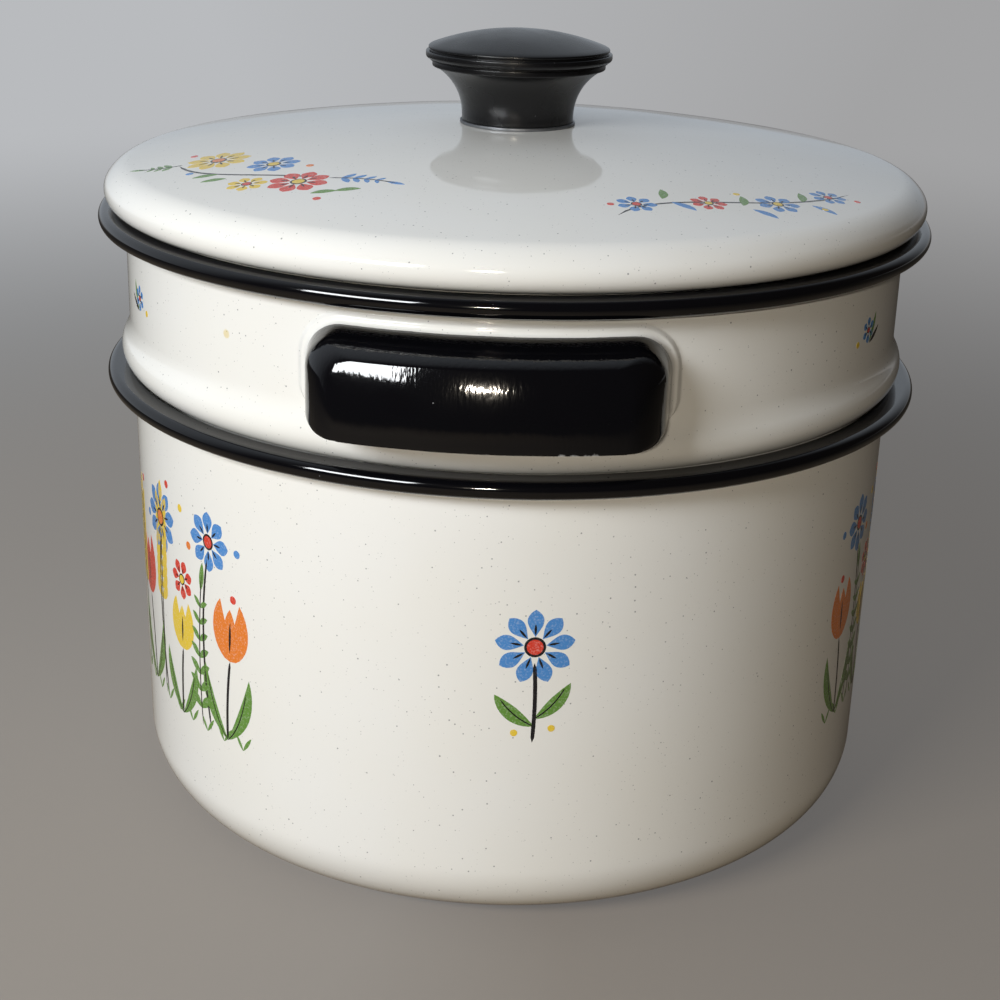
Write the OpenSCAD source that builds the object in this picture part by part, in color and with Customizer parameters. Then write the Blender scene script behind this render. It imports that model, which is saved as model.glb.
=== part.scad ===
// Enamelled steel double boiler: a lower pot, an upper pot that hangs in its rim, and a lid.
// Millimetres, +Z up, origin on the table under the middle of the base, handles along Y.

/* [Lower pot] */
// Outer radius of the lower wall just under its rim
lower_wall_r = 104.9; // [100:0.1:112]
// Height from the table to the top of the lower rim
lower_h = 124.3; // [115:0.1:140]
// How much narrower the lower wall is at the foot than under the rim
lower_draft = 0.6; // [0:0.1:2]
// Outer radius of the bend between the lower wall and the base
lower_foot_r = 18; // [10:0.5:24]
// Thickness of the enamelled sheet of the lower pot
lower_t = 1.2; // [0.9:0.05:1.6]
// Radius of the raised panel in the middle of the base
base_panel_r = 60; // [40:1:70]
// How far that panel stands off the table
base_panel_lift = 0.8; // [0.3:0.1:1.5]

/* [Rolled rims] */
// How far each rim reaches out from the wall under it
rim_reach = 7; // [6.4:0.1:8.5]
// Outer radius of the curl that is rolled at the edge
curl_r = 2.4; // [2.1:0.05:2.8]
// Radius of the top face where the wall turns out into the rim
rim_bend_r = 2.8; // [2.3:0.1:3.4]
// Angle that the curl is rolled through
curl_turn = 275; // [200:5:285]
// How far under its curl the black enamel of a rim starts on the wall
rim_start = 0.3; // [0.1:0.1:1]

/* [Upper pot] */
// Height of the upper pot from its base to the top of its rim
upper_h = 126.7; // [100:0.1:145]
// Height of the upper rim's top above the lower rim's top
upper_stand = 42.4; // [40:0.1:60]
// How much larger the upper wall's radius is than the lower wall's
upper_wall_out = 0.6; // [0:0.1:1.2]
// How far the resting shoulder swells out from the upper wall
shoulder_out = 2.3; // [1.6:0.1:2.8]
// Outer radius of the resting shoulder's curve
shoulder_r = 6; // [5.2:0.1:6.8]
// Radius of the hollow curve between the shoulder and the wall above it
swell_r = 10; // [7:0.5:13]
// Radius of the hollow curve between the shoulder and the sunk wall
neck_r = 2; // [1.5:0.1:2.6]
// Steam gap all round between the sunk wall and the lower pot
steam_gap = 3.5; // [2.8:0.1:5]
// How much narrower the sunk wall is at the base than at the neck
upper_draft = 0.8; // [0:0.1:2]
// Outer radius of the bend between the sunk wall and the upper base
upper_foot_r = 14; // [8:0.5:20]
// Thickness of the enamelled sheet of the upper pot
upper_t = 1.2; // [0.9:0.05:1.6]
// Gap left between the shoulder and the rim that it rests on
seat_gap = 0.3; // [0.2:0.05:0.4]

/* [Handles] */
// Width of a handle between its two side walls
handle_w = 83.6; // [70:0.1:95]
// Height of a handle from its open bottom edge to its top
handle_h = 22.5; // [21:0.1:27]
// Distance from the top of the upper rim down to the top of a handle
handle_drop = 9.4; // [8.6:0.1:11]
// How far the outer face of a handle stands off the wall where it bulges most
handle_out = 17.8; // [15:0.1:20]
// Thickness of the enamelled sheet of a handle
handle_t = 1.2; // [0.9:0.05:1.6]
// Radius of the outer face's crown, seen from the side
handle_crown_r = 45; // [36:0.5:80]
// How far the centre of that crown lies below the open bottom edge
handle_crown_drop = 1.8; // [0:0.1:4]
// Height of the rounded edge between the sides and the outer face, off the wall
handle_edge_h = 4.5; // [3:0.1:6]
// Width of that rounded edge at the two ends of the face
handle_end_edge = 9; // [6:0.1:12]
// Width of that rounded edge along the top of the face
handle_top_edge = 3; // [2:0.1:5]
// Radius of the outline's upper corners, seen from the front
handle_top_corner_r = 9; // [7.5:0.1:11]
// Radius of the outline's lower corners, seen from the front
handle_low_corner_r = 5; // [3:0.1:9]
// How much the sides lean in from the wall to the rounded edge
handle_lean = 1.4; // [0:0.1:2]
// Width of the flange that is welded to the wall
handle_flange_w = 2.6; // [1.8:0.1:3.4]
// Height of that flange off the wall
handle_flange_t = 1; // [0.7:0.1:1.3]

/* [Lid] */
// How far the lid's edge stays inside the upper rim's edge
lid_inset = 1.8; // [1:0.1:3]
// Outer radius of the lid's rounded drop edge
lid_edge_r = 4.4; // [3.8:0.1:5]
// Outer radius of the shoulder between the dome and the drop edge
lid_shoulder_r = 10; // [7:0.5:16]
// Slope of the dome where it meets the shoulder, in degrees
lid_dome_slope = 11; // [7:0.5:14]
// Slope where the shoulder meets the drop edge, in degrees
lid_edge_slope = 55; // [40:1:65]
// Depth of the locating ring under the lid's edge
lid_ring_h = 10; // [6:0.5:14]
// Gap between the locating ring and the mouth of the upper pot
lid_mouth_gap = 1.5; // [1:0.1:2]
// Outer radius of the bend between the lid's underside and its locating ring
lid_ring_bend_r = 2; // [1.4:0.1:2.4]
// Thickness of the enamelled sheet of the lid
lid_t = 1.2; // [0.9:0.05:1.6]
// Gap left between the lid's underside and the upper rim
lid_seat_gap = 0.3; // [0.2:0.05:0.4]
// Radius of the flat in the middle of the lid that the knob stands on
lid_flat_r = 17; // [16.5:0.5:20]

/* [Knob] */
// Radius of the knob's foot
knob_foot_r = 15.1; // [13:0.1:16]
// Height of the straight part of the knob's foot
knob_foot_h = 1.4; // [0.5:0.1:3]
// Radius of the hollow curve that flares from the foot to the flange
knob_flare_r = 14.5; // [12:0.1:16]
// Angle that the flare turns through
knob_flare_turn = 65; // [60:1:70]
// Radius of the raised band round the knob's flange
knob_band_r = 25; // [24.8:0.1:27]
// Height of the lower lip under the groove
knob_lip_h = 1.2; // [0.8:0.1:1.8]
// Height of the raised band
knob_band_h = 2; // [1.4:0.1:3]
// Depth and height of the groove between lip and band
knob_groove = 0.45; // [0.3:0.05:0.7]
// Radius of the knob's cap
knob_cap_r = 24.3; // [23.5:0.1:24.7]
// Height of the cap's straight edge
knob_cap_edge_h = 1.3; // [0.8:0.1:2]
// Rise of the cap's dome
knob_cap_rise = 4.5; // [3:0.1:7]
// Radius of the cap's locating spigot
cap_spigot_r = 12; // [8:0.5:16]
// Depth of the cap's locating spigot
cap_spigot_h = 3; // [2:0.1:4]
// Thickness of the metal disc between knob and lid
foot_disc_t = 0.8; // [0.5:0.1:1.2]
// How far that disc shows round the knob's foot
foot_disc_out = 0.5; // [0.2:0.1:1.2]

/* [Knob fastening] */
// Radius of the screw's shank
screw_r = 2.4; // [2:0.05:2.8]
// Length of the screw under its head
screw_l = 14; // [12:0.5:15]
// Radius of the screw's head
screw_head_r = 4.6; // [4.2:0.1:5.4]
// Height of the screw's head
screw_head_h = 3; // [2:0.1:4]
// Width of the slot in the screw's head
screw_slot_w = 1.2; // [0.8:0.1:1.6]
// Running gap between the screw's shank and the holes that it passes
screw_gap = 0.3; // [0.1:0.05:0.5]
// Thread gap between the screw's shank and the bush
thread_gap = 0.05; // [0.03:0.01:0.1]
// Radius of the brass bush in the knob
bush_r = 4.5; // [4:0.1:6]
// Length of the brass bush
bush_l = 12; // [10:0.5:13]
// Depth of the two grooves that key the bush in the moulding
bush_groove = 0.5; // [0.3:0.1:0.8]
// Gap round the bush and round the cap's spigot
mould_gap = 0.05; // [0.03:0.01:0.1]
// Radius of the flat washer under the lid
flat_washer_r = 7; // [6:0.1:9]
// Thickness of the flat washer
flat_washer_t = 0.8; // [0.5:0.1:1.2]
// Radius of the spring washer under the flat one
spring_washer_r = 4.4; // [4:0.1:5]
// Thickness of the spring washer
spring_washer_t = 1; // [0.7:0.1:1.3]
// Angle of the cut through the spring washer
spring_washer_cut = 12; // [6:1:20]

/* [Hidden] */
$fn = 128;
// Steps in a full turn of a profile's curve, and the longest step on a shallow one
curve_steps = 64;
longest_step = 4;
// Gap that keeps a welded flange from cutting into the round wall
weld_gap = 0.05;
// Cells of a handle's face across, up, and from the wall to the face
face_cols = 24;
face_rows = 10;

// Lower pot and rim
lower_in_r = lower_wall_r - lower_t;
lower_split_z = lower_h - 2 * curl_r - rim_start;
lower_bend_c = [lower_in_r + rim_bend_r, lower_h - rim_bend_r];

// Upper pot, hung by its shoulder in the bend of the lower rim
upper_wall_r = lower_wall_r + upper_wall_out;
upper_in_r = upper_wall_r - upper_t;
upper_top_z = lower_h + upper_stand;
upper_base_z = upper_top_z - upper_h;
upper_split_z = upper_top_z - 2 * curl_r - rim_start;
sunk_r = lower_in_r - steam_gap;
shoulder_c_r = upper_wall_r + shoulder_out - shoulder_r;
shoulder_c = [shoulder_c_r, lower_bend_c[1]
    + leg(rim_bend_r + seat_gap + shoulder_r, lower_bend_c[0] - shoulder_c_r)];
neck_c = [sunk_r + neck_r, shoulder_c[1] - leg(shoulder_r + neck_r, sunk_r + neck_r - shoulder_c_r)];
swell_c = [upper_wall_r + swell_r, shoulder_c[1]
    + leg(shoulder_r + swell_r, upper_wall_r + swell_r - shoulder_c_r)];

// Lid, resting on the upper rim
lid_r = upper_wall_r + rim_reach - lid_inset;
lid_under_z = upper_top_z + lid_seat_gap;
lid_edge_c = [lid_r - lid_edge_r, lid_under_z + lid_edge_r];
lid_shoulder_c = lid_edge_c - (lid_shoulder_r - lid_edge_r) * aim(90 - lid_edge_slope);
lid_dome_edge = lid_shoulder_c + lid_shoulder_r * aim(90 - lid_dome_slope);
lid_dome_r = lid_dome_edge[0] / sin(lid_dome_slope);
lid_dome_z = lid_dome_edge[1] - lid_dome_r * cos(lid_dome_slope);
lid_flat_z = lid_dome_z + leg(lid_dome_r, lid_flat_r);
lid_ring_r = upper_in_r - lid_mouth_gap;

// Knob, stacked on the lid's flat
knob_z = lid_flat_z + foot_disc_t;
flare_c = [knob_foot_r + knob_flare_r, knob_z + knob_foot_h];
flare_end = flare_c + knob_flare_r * aim(180 - knob_flare_turn);
lip_top_z = flare_end[1] + knob_lip_h;
band_z = lip_top_z + knob_groove;
cap_z = band_z + knob_band_h;
cap_edge_z = cap_z + knob_cap_edge_h;
cap_dome_r = (knob_cap_r * knob_cap_r + knob_cap_rise * knob_cap_rise) / (2 * knob_cap_rise);
small_round = 0.35;

// Fastening, under the lid
hole_r = screw_r + screw_gap;
flat_washer_z = lid_flat_z - lid_t - flat_washer_t;
spring_washer_z = flat_washer_z - spring_washer_t;

// Handle
handle_top_z = upper_top_z - handle_drop;
handle_low_z = handle_top_z - handle_h;
handle_face_r = upper_wall_r + handle_out;
rounded_from = handle_out - handle_edge_h;
flange_round = 0.3 * handle_flange_t;
flange_fillet = handle_flange_w - 2 * flange_round;
side_foot = handle_flange_t + flange_fillet;
// The flange and its hollow fillet, as [distance in from the side wall's foot, height off the wall]
flange_profile = concat(
    [[-handle_flange_w, 0],
     [-handle_flange_w, handle_flange_t - flange_round],
     [-handle_flange_w + flange_round, handle_flange_t]],
    [for (a = [-90, -45, 0]) [-flange_fillet, side_foot] + flange_fillet * aim(a)]);
// Each level of the loft is [inset at the ends, inset at the top, height off the wall, depth below
// the outer face]. The edge is a quarter of an ellipse between the side wall and the crowned face.
outer_levels = concat([for (p = flange_profile) [p[0], p[0], p[1], 0]], edge_levels(0));
// The inner face has as many levels and no flange
foot_levels = 5;
inner_levels = concat(
    [for (k = [0:foot_levels]) [handle_t, handle_t, side_foot * k / foot_levels, 0]],
    edge_levels(handle_t));
last_level = len(outer_levels) - 1;
side_steps = 2 * face_rows + face_cols;

enamel_white = "#e9e6df";
enamel_black = "#101013";
phenolic_black = "#1b1b1e";
zinc_grey = "#a9abad";
steel_grey = "#8e9093";
brass_yellow = "#b8943f";

// The other leg of a right triangle
function leg(long_side, side) = sqrt(long_side * long_side - side * side);

// Unit vector at an angle
function aim(a) = [cos(a), sin(a)];

// Points of an arc about c from angle a0 to a1. Both faces of a sheet get the same count.
function arc(c, r, a0, a1) =
    let (turn = abs(a1 - a0),
         n = max(1, ceil(turn * curve_steps / 360), ceil(r * turn * PI / 180 / longest_step)))
    [for (i = [0:n]) c + r * aim(a0 + (a1 - a0) * i / n)];

// A list in reverse order
function back(list) = [for (i = [len(list) - 1:-1:0]) list[i]];

// A bend of a folded sheet is [centre, radius of its outer face, from angle, to angle, side].
// Side is 1 where the outer face is the far one from the centre, and -1 where it is the near one.
// An end or a corner is a bend of radius 0 whose angle points to the outer face.
function face(bends, depth) =
    [for (b = bends) each arc(b[0], b[1] - b[4] * depth, b[2], b[3])];

// Closed outline of a sheet of thickness t that is folded along the bends
function sheet(bends, t) = concat(face(bends, 0), back(face(bends, t)));

// An end or a corner of the sheet, with its outer face towards angle a
function end_at(p, a) = [p, 0, a, a, 1];

module spun(outline) {
    rotate_extrude() polygon(outline);
}

// Bends of a rolled rim on a wall of outer radius wall_r, from the split up and round
function rim_bends(wall_r, t, top_z, split_z) =
    let (bend_c = [wall_r - t + rim_bend_r, top_z - rim_bend_r],
         curl_c = [wall_r + rim_reach - curl_r, top_z - curl_r])
    [end_at([wall_r, split_z], 0),
     [bend_c, rim_bend_r - t, 180, 90, -1],
     [curl_c, curl_r - t, 90, 90 - curl_turn, -1]];

module lower_pot_shell() {
    foot_c = [lower_wall_r - lower_draft - lower_foot_r, lower_foot_r];
    color(enamel_white) spun(sheet([
        end_at([0, base_panel_lift], -90),
        end_at([base_panel_r, base_panel_lift], -90),
        end_at([base_panel_r + 3 * base_panel_lift, 0], -90),
        [foot_c, lower_foot_r, -90, 0, 1],
        end_at([lower_wall_r, lower_split_z], 0)], lower_t));
}

module lower_pot_rim() {
    color(enamel_black)
        spun(sheet(rim_bends(lower_wall_r, lower_t, lower_h, lower_split_z), lower_t));
}

module upper_pot_shell() {
    foot_c = [sunk_r - upper_draft - upper_foot_r, upper_base_z + upper_foot_r];
    neck_a = atan2(shoulder_c[1] - neck_c[1], shoulder_c[0] - neck_c[0]);
    swell_a = atan2(swell_c[1] - shoulder_c[1], swell_c[0] - shoulder_c[0]);
    color(enamel_white) spun(sheet([
        end_at([0, upper_base_z], -90),
        [foot_c, upper_foot_r, -90, 0, 1],
        [neck_c, neck_r, 180, neck_a, -1],
        [shoulder_c, shoulder_r, neck_a - 180, swell_a, 1],
        [swell_c, swell_r, swell_a + 180, 180, -1],
        end_at([upper_wall_r, upper_split_z], 0)], upper_t));
}

module upper_pot_rim() {
    color(enamel_black)
        spun(sheet(rim_bends(upper_wall_r, upper_t, upper_top_z, upper_split_z), upper_t));
}

// Radius of the upper pot's outer wall at height z, down to its shoulder
function wall_r_at(z) = z >= swell_c[1] ? upper_wall_r : swell_c[0] - leg(swell_r, swell_c[1] - z);

// A square's point (u, v), each from -1 to 1, carried to a rectangle with round corners.
// Size is [half width, half height], and the corner radius differs above and below the middle.
function rounded(u, v, size, corner_r) =
    let (m = max(abs(u), abs(v)),
         r = corner_r * m,
         over = [abs(u) * size[0] - (size[0] * m - r), abs(v) * size[1] - (size[1] * m - r)],
         k = over[0] > 0 && over[1] > 0 ? r / norm(over) : 1)
    k == 1 ? [u * size[0], v * size[1]]
           : [sign(u) * (size[0] * m - r + over[0] * k), sign(v) * (size[1] * m - r + over[1] * k)];

// Levels of the rounded edge of a handle's sheet, at a depth below its outer face
function edge_levels(deep) = [for (a = [0:15:90])
    let (side = handle_lean + deep)
    [side + (handle_end_edge - deep) * (1 - cos(a)), side + (handle_top_edge - deep) * (1 - cos(a)),
     rounded_from + handle_edge_h * sin(a), deep * sin(a)]];

// Radius of a handle's crowned face at height z, at a depth below its outer face
function crown_r_at(z, deep) = handle_face_r - handle_crown_r
    + leg(handle_crown_r - deep, z - handle_low_z + handle_crown_drop);

// Point of a handle's surface for the square's point (u, v) at one level of the loft.
// The crown draws the sides in by the square of their share of the way out from the wall.
function handle_point(u, v, level) =
    let (top = handle_top_z - level[1],
         size = [handle_w / 2 - level[0], (top - handle_low_z) / 2],
         corner_r = max(small_round, (v > 0 ? handle_top_corner_r : handle_low_corner_r) - level[1]),
         p = rounded(u, v, size, corner_r),
         z = p[1] + (top + handle_low_z) / 2,
         wall_r = wall_r_at(z) + weld_gap,
         drawn_in = crown_r_at(z, level[3]) - wall_r - handle_out,
         r = wall_r + level[2] + drawn_in * pow(level[2] / handle_out, 2))
    [p[0], -leg(r, p[0]), z];

// The square's edge from its lower left corner up, across the top and down to the lower right
function edge_u(j) = j <= face_rows ? -1
    : j <= face_rows + face_cols ? -1 + 2 * (j - face_rows) / face_cols : 1;
function edge_v(j) = j <= face_rows ? -1 + 2 * j / face_rows
    : j <= face_rows + face_cols ? 1 : 1 - 2 * (j - face_rows - face_cols) / face_rows;

// All points of one face of the sheet: the levels below the last along the edge, then the grid
function handle_skin(levels) = concat(
    [for (k = [0:last_level - 1]) for (j = [0:side_steps]) handle_point(edge_u(j), edge_v(j), levels[k])],
    [for (b = [0:face_rows]) for (a = [0:face_cols])
        handle_point(-1 + 2 * a / face_cols, -1 + 2 * b / face_rows, levels[last_level])]);

// Places of those points in the list
function grid_at(a, b) = last_level * (side_steps + 1) + b * (face_cols + 1) + a;
function loft_at(k, j) = k < last_level ? k * (side_steps + 1) + j
    : j <= face_rows ? grid_at(0, j)
    : j <= face_rows + face_cols ? grid_at(j - face_rows, face_rows)
    : grid_at(face_cols, side_steps - j);
skin_size = last_level * (side_steps + 1) + (face_rows + 1) * (face_cols + 1);

// Two triangles for a cell with corners in order
function cell(p, q, r, s) = [[p, q, r], [p, r, s]];

skin_cells = concat(
    [for (k = [0:last_level - 1]) for (j = [0:side_steps - 1])
        each cell(loft_at(k, j), loft_at(k, j + 1), loft_at(k + 1, j + 1), loft_at(k + 1, j))],
    [for (b = [0:face_rows - 1]) for (a = [0:face_cols - 1])
        each cell(grid_at(a, b), grid_at(a, b + 1), grid_at(a + 1, b + 1), grid_at(a + 1, b))]);

// The free edge of the skin, all the way round
skin_edge = concat(
    [for (j = [0:side_steps]) loft_at(0, j)],
    [for (k = [1:last_level]) loft_at(k, side_steps)],
    [for (a = [face_cols - 1:-1:0]) grid_at(a, 0)],
    [for (k = [last_level - 1:-1:1]) loft_at(k, 0)]);

// A pressed cup handle, open below, lofted from its weld flange up its sides to its outer face
module cup_handle() {
    n = len(skin_edge);
    points = concat(handle_skin(outer_levels), handle_skin(inner_levels));
    faces = concat(
        skin_cells,
        [for (c = skin_cells) [c[0], c[2], c[1]] + skin_size * [1, 1, 1]],
        [for (i = [0:n - 1])
            each cell(skin_edge[i], skin_edge[i] + skin_size,
                skin_edge[(i + 1) % n] + skin_size, skin_edge[(i + 1) % n])]);
    polyhedron(points, faces, convexity = 6);
}

module front_handle() {
    color(enamel_black) cup_handle();
}

module rear_handle() {
    color(enamel_black) rotate([0, 0, 180]) cup_handle();
}

module lid_shell() {
    ring_bend_c = [lid_ring_r + lid_ring_bend_r, lid_under_z - lid_ring_bend_r];
    color(enamel_white) spun(sheet([
        end_at([hole_r, lid_flat_z], 90),
        [[0, lid_dome_z], lid_dome_r, acos(lid_flat_r / lid_dome_r), 90 - lid_dome_slope, 1],
        [lid_shoulder_c, lid_shoulder_r, 90 - lid_dome_slope, 90 - lid_edge_slope, 1],
        [lid_edge_c, lid_edge_r, 90 - lid_edge_slope, -90, 1],
        [ring_bend_c, lid_ring_bend_r, 90, 180, -1],
        end_at([lid_ring_r, lid_under_z - lid_ring_h], 0)], lid_t));
}

module knob_foot_disc() {
    color(zinc_grey) translate([0, 0, lid_flat_z]) difference() {
        cylinder(h = foot_disc_t, r = knob_foot_r + foot_disc_out);
        translate([0, 0, -1]) cylinder(h = foot_disc_t + 2, r = hole_r);
    }
}

module knob_body() {
    pocket_r = bush_r + mould_gap;
    pocket_top = knob_z + bush_l + mould_gap;
    lip_r = flare_end[0] + small_round;
    groove_r = knob_cap_r - knob_groove;
    recess_r = cap_spigot_r + mould_gap;
    recess_z = cap_z - cap_spigot_h - mould_gap;
    color(phenolic_black) spun(concat(
        [[pocket_r, knob_z], [knob_foot_r, knob_z]],
        arc(flare_c, knob_flare_r, 180, 180 - knob_flare_turn),
        arc([lip_r, flare_end[1] + small_round], small_round, -60, 0),
        arc([lip_r, lip_top_z - small_round], small_round, 0, 90),
        [[groove_r, lip_top_z], [groove_r, band_z]],
        arc([knob_band_r - small_round, band_z + small_round], small_round, -90, 0),
        arc([knob_band_r - small_round, cap_z - small_round], small_round, 0, 90),
        [[recess_r, cap_z], [recess_r, recess_z], [0, recess_z], [0, pocket_top], [pocket_r, pocket_top]]));
}

module knob_cap() {
    dome_c = [0, cap_edge_z + knob_cap_rise - cap_dome_r];
    groove_r = knob_cap_r - knob_groove;
    color(phenolic_black) spun(concat(
        [[0, cap_z - cap_spigot_h], [cap_spigot_r, cap_z - cap_spigot_h], [cap_spigot_r, cap_z],
         [groove_r, cap_z], [groove_r, cap_z + knob_groove]],
        arc([knob_cap_r - small_round, cap_z + knob_groove + small_round], small_round, -90, 0),
        arc([knob_cap_r - small_round, cap_edge_z - small_round], small_round, 0, 60),
        arc(dome_c, cap_dome_r, acos((knob_cap_r - 2 * small_round) / cap_dome_r), 90)));
}

module knob_bush() {
    groove_r = bush_r - bush_groove;
    step = bush_l / 5;
    bore_r = screw_r + thread_gap;
    color(brass_yellow) translate([0, 0, knob_z]) spun([
        [bore_r, 0], [bush_r, 0], [bush_r, step], [groove_r, step], [groove_r, 2 * step],
        [bush_r, 2 * step], [bush_r, 3 * step], [groove_r, 3 * step], [groove_r, 4 * step],
        [bush_r, 4 * step], [bush_r, bush_l], [bore_r, bush_l]]);
}

module knob_screw() {
    head_low = -screw_head_h;
    round_r = screw_head_h / 2;
    slot_h = screw_head_h * 0.45;
    color(steel_grey) translate([0, 0, spring_washer_z]) difference() {
        spun(concat(
            [[0, head_low]],
            arc([screw_head_r - round_r, head_low + round_r], round_r, -90, 0),
            [[screw_head_r, 0], [screw_r, 0], [screw_r, screw_l - screw_r / 2],
             [screw_r / 2, screw_l], [0, screw_l]]));
        translate([-screw_head_r - 1, -screw_slot_w / 2, head_low - 1])
            cube([2 * screw_head_r + 2, screw_slot_w, 1 + slot_h]);
    }
}

module flat_washer() {
    color(steel_grey) translate([0, 0, flat_washer_z]) difference() {
        cylinder(h = flat_washer_t, r = flat_washer_r);
        translate([0, 0, -1]) cylinder(h = flat_washer_t + 2, r = hole_r);
    }
}

module spring_washer() {
    color(steel_grey) translate([0, 0, spring_washer_z])
        rotate_extrude(angle = 360 - spring_washer_cut)
            translate([hole_r, 0]) square([spring_washer_r - hole_r, spring_washer_t]);
}

lower_pot_shell();
lower_pot_rim();
upper_pot_shell();
upper_pot_rim();
front_handle();
rear_handle();
lid_shell();
knob_foot_disc();
knob_body();
knob_cap();
knob_bush();
knob_screw();
flat_washer();
spring_washer();
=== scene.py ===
"""Finished surfaces of an enamelled double boiler: two pots, cup handles, a domed lid and its knob.

Metres, in the frame of the packed model: +Z up, origin on the table under the middle of the base and the
handles along Y. An angle round the pots is counted in degrees from the front handle, at -Y, towards +X.
"""

import math

import bmesh
import bpy
import numpy as np
from bpy.props import FloatProperty, FloatVectorProperty, PointerProperty
from mathutils import Matrix, Vector


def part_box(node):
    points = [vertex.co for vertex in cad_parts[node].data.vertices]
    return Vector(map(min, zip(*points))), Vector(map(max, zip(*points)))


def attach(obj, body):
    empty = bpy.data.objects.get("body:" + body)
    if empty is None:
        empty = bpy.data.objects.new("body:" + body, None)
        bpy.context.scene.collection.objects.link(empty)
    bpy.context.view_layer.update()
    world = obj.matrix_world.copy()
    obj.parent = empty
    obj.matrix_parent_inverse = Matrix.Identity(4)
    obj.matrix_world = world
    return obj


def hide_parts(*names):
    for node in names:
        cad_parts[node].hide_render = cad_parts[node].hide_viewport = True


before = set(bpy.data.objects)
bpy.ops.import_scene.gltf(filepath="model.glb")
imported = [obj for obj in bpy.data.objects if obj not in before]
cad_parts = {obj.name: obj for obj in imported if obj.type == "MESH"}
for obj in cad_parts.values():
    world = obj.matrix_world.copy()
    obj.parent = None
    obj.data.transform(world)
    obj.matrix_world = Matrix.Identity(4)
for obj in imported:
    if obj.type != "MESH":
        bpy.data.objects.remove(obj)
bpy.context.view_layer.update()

bl_info = {
    "name": "Enamelled double boiler",
    "version": (1, 0, 0),
    "blender": (4, 5, 0),
    "location": "View3D > Sidebar > Boiler",
    "description": "Builds the enamelled surfaces, the prints and the knob of a double boiler",
    "category": "Add Mesh",
}

MM = 0.001
LOWER_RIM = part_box("lower_pot_rim")
UPPER_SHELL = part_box("upper_pot_shell")
UPPER_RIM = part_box("upper_pot_rim")
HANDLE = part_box("front_handle")
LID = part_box("lid_shell")
FOOT_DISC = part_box("knob_foot_disc")
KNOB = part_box("knob_body")
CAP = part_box("knob_cap")
# Steps round a turned piece, few enough that none passes 200,000 triangles
RINGS = 288
RIM_RINGS = 384
KNOB_RINGS = 240


def linear(hex_colour):
    """Linear RGBA of an sRGB hex colour."""
    parts = [int(hex_colour[i:i + 2], 16) / 255 for i in (1, 3, 5)]
    return (*[c / 12.92 if c <= 0.04045 else ((c + 0.055) / 1.055) ** 2.4 for c in parts], 1.0)


def size(name, description, default):
    """A length in metres that a user may change."""
    return FloatProperty(name=name, description=description, default=default, unit="LENGTH", precision=5)


def tint(name, description, hex_colour):
    """A colour that a user may change."""
    return FloatVectorProperty(name=name, description=description, subtype="COLOR", size=4, min=0, max=1,
                               default=linear(hex_colour))


class PotSizes(bpy.types.PropertyGroup):
    """Sizes that both pots share, and the shapes of their sheets."""
    sheet: size("Sheet", "Thickness of the enamelled sheet", 1.2 * MM)
    rim_reach: size("Rim reach", "How far a rim reaches out from its wall", 7 * MM)
    curl: size("Curl", "Outer radius of a rim's rolled curl", 2.4 * MM)
    rim_bend: size("Rim bend", "Radius of the top face where a wall turns out into its rim", 2.8 * MM)
    lower_foot: size("Lower foot", "Outer radius between the lower wall and its base", 18 * MM)
    lower_draft: size("Lower draft", "How much narrower the lower wall is at its foot", 0.6 * MM)
    base_panel: size("Base panel", "Radius of the raised panel of the base", 60 * MM)
    base_lift: size("Base lift", "Height of that panel off the table", 0.8 * MM)
    upper_foot: size("Upper foot", "Outer radius between the sunk wall and the upper base", 14 * MM)
    shoulder: size("Shoulder", "Outer radius of the resting shoulder's curve", 6 * MM)
    swell: size("Swell", "Radius of the hollow curve above the shoulder", 10 * MM)
    neck: size("Neck", "Radius of the hollow curve below the shoulder", 2 * MM)
    steam_gap: size("Steam gap", "Gap between the sunk wall and the lower pot", 3.5 * MM)
    upper_draft: size("Upper draft", "How much narrower the sunk wall is at its base", 0.8 * MM)
    seat_gap: size("Seat gap", "Gap left between the shoulder and the rim under it", 0.3 * MM)
    unevenness: size("Unevenness", "Depth of the slight unevenness of the enamelled sheet", 0.05 * MM)
    uneven_span: size("Uneven span", "Usual width of one such unevenness", 34 * MM)


class HandleSizes(bpy.types.PropertyGroup):
    """Sizes of the two pressed cup handles."""
    width: size("Width", "Width between the side walls, flange left out", 83.6 * MM)
    crown: size("Crown", "Radius of the face's crown, seen from the side", 45 * MM)
    crown_rise: size("Crown rise", "Height of the crown's furthest point over the open edge", 0.6 * MM)
    edge: size("Edge", "Height of the rounded edge between the sides and the face", 9 * MM)
    end_edge: size("End edge", "Width of the rounded edge at either end", 7.4 * MM)
    top_edge: size("Top edge", "Width of the rounded edge along the top", 1.8 * MM)
    top_corner: size("Top corner", "Radius of the outline's upper corners, seen from the front", 9 * MM)
    low_corner: size("Low corner", "Radius of the outline's lower corners, seen from the front", 4.5 * MM)
    end_lean: size("End lean", "How much the ends lean in towards the face", 2 * MM)
    top_lean: size("Top lean", "How much the top leans down towards the face", 2.9 * MM)
    flange: size("Flange", "Width of the flange on the wall", 2.6 * MM)
    flange_height: size("Flange height", "Height of the flange off the wall", 1 * MM)
    unevenness: size("Unevenness", "Depth of the dents in the pressed face", 0.09 * MM)
    uneven_span: size("Uneven span", "Usual width of one dent", 17 * MM)
    white_foot: size("White foot", "Height off the wall at which the black enamel starts", 2.2 * MM)


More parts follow.
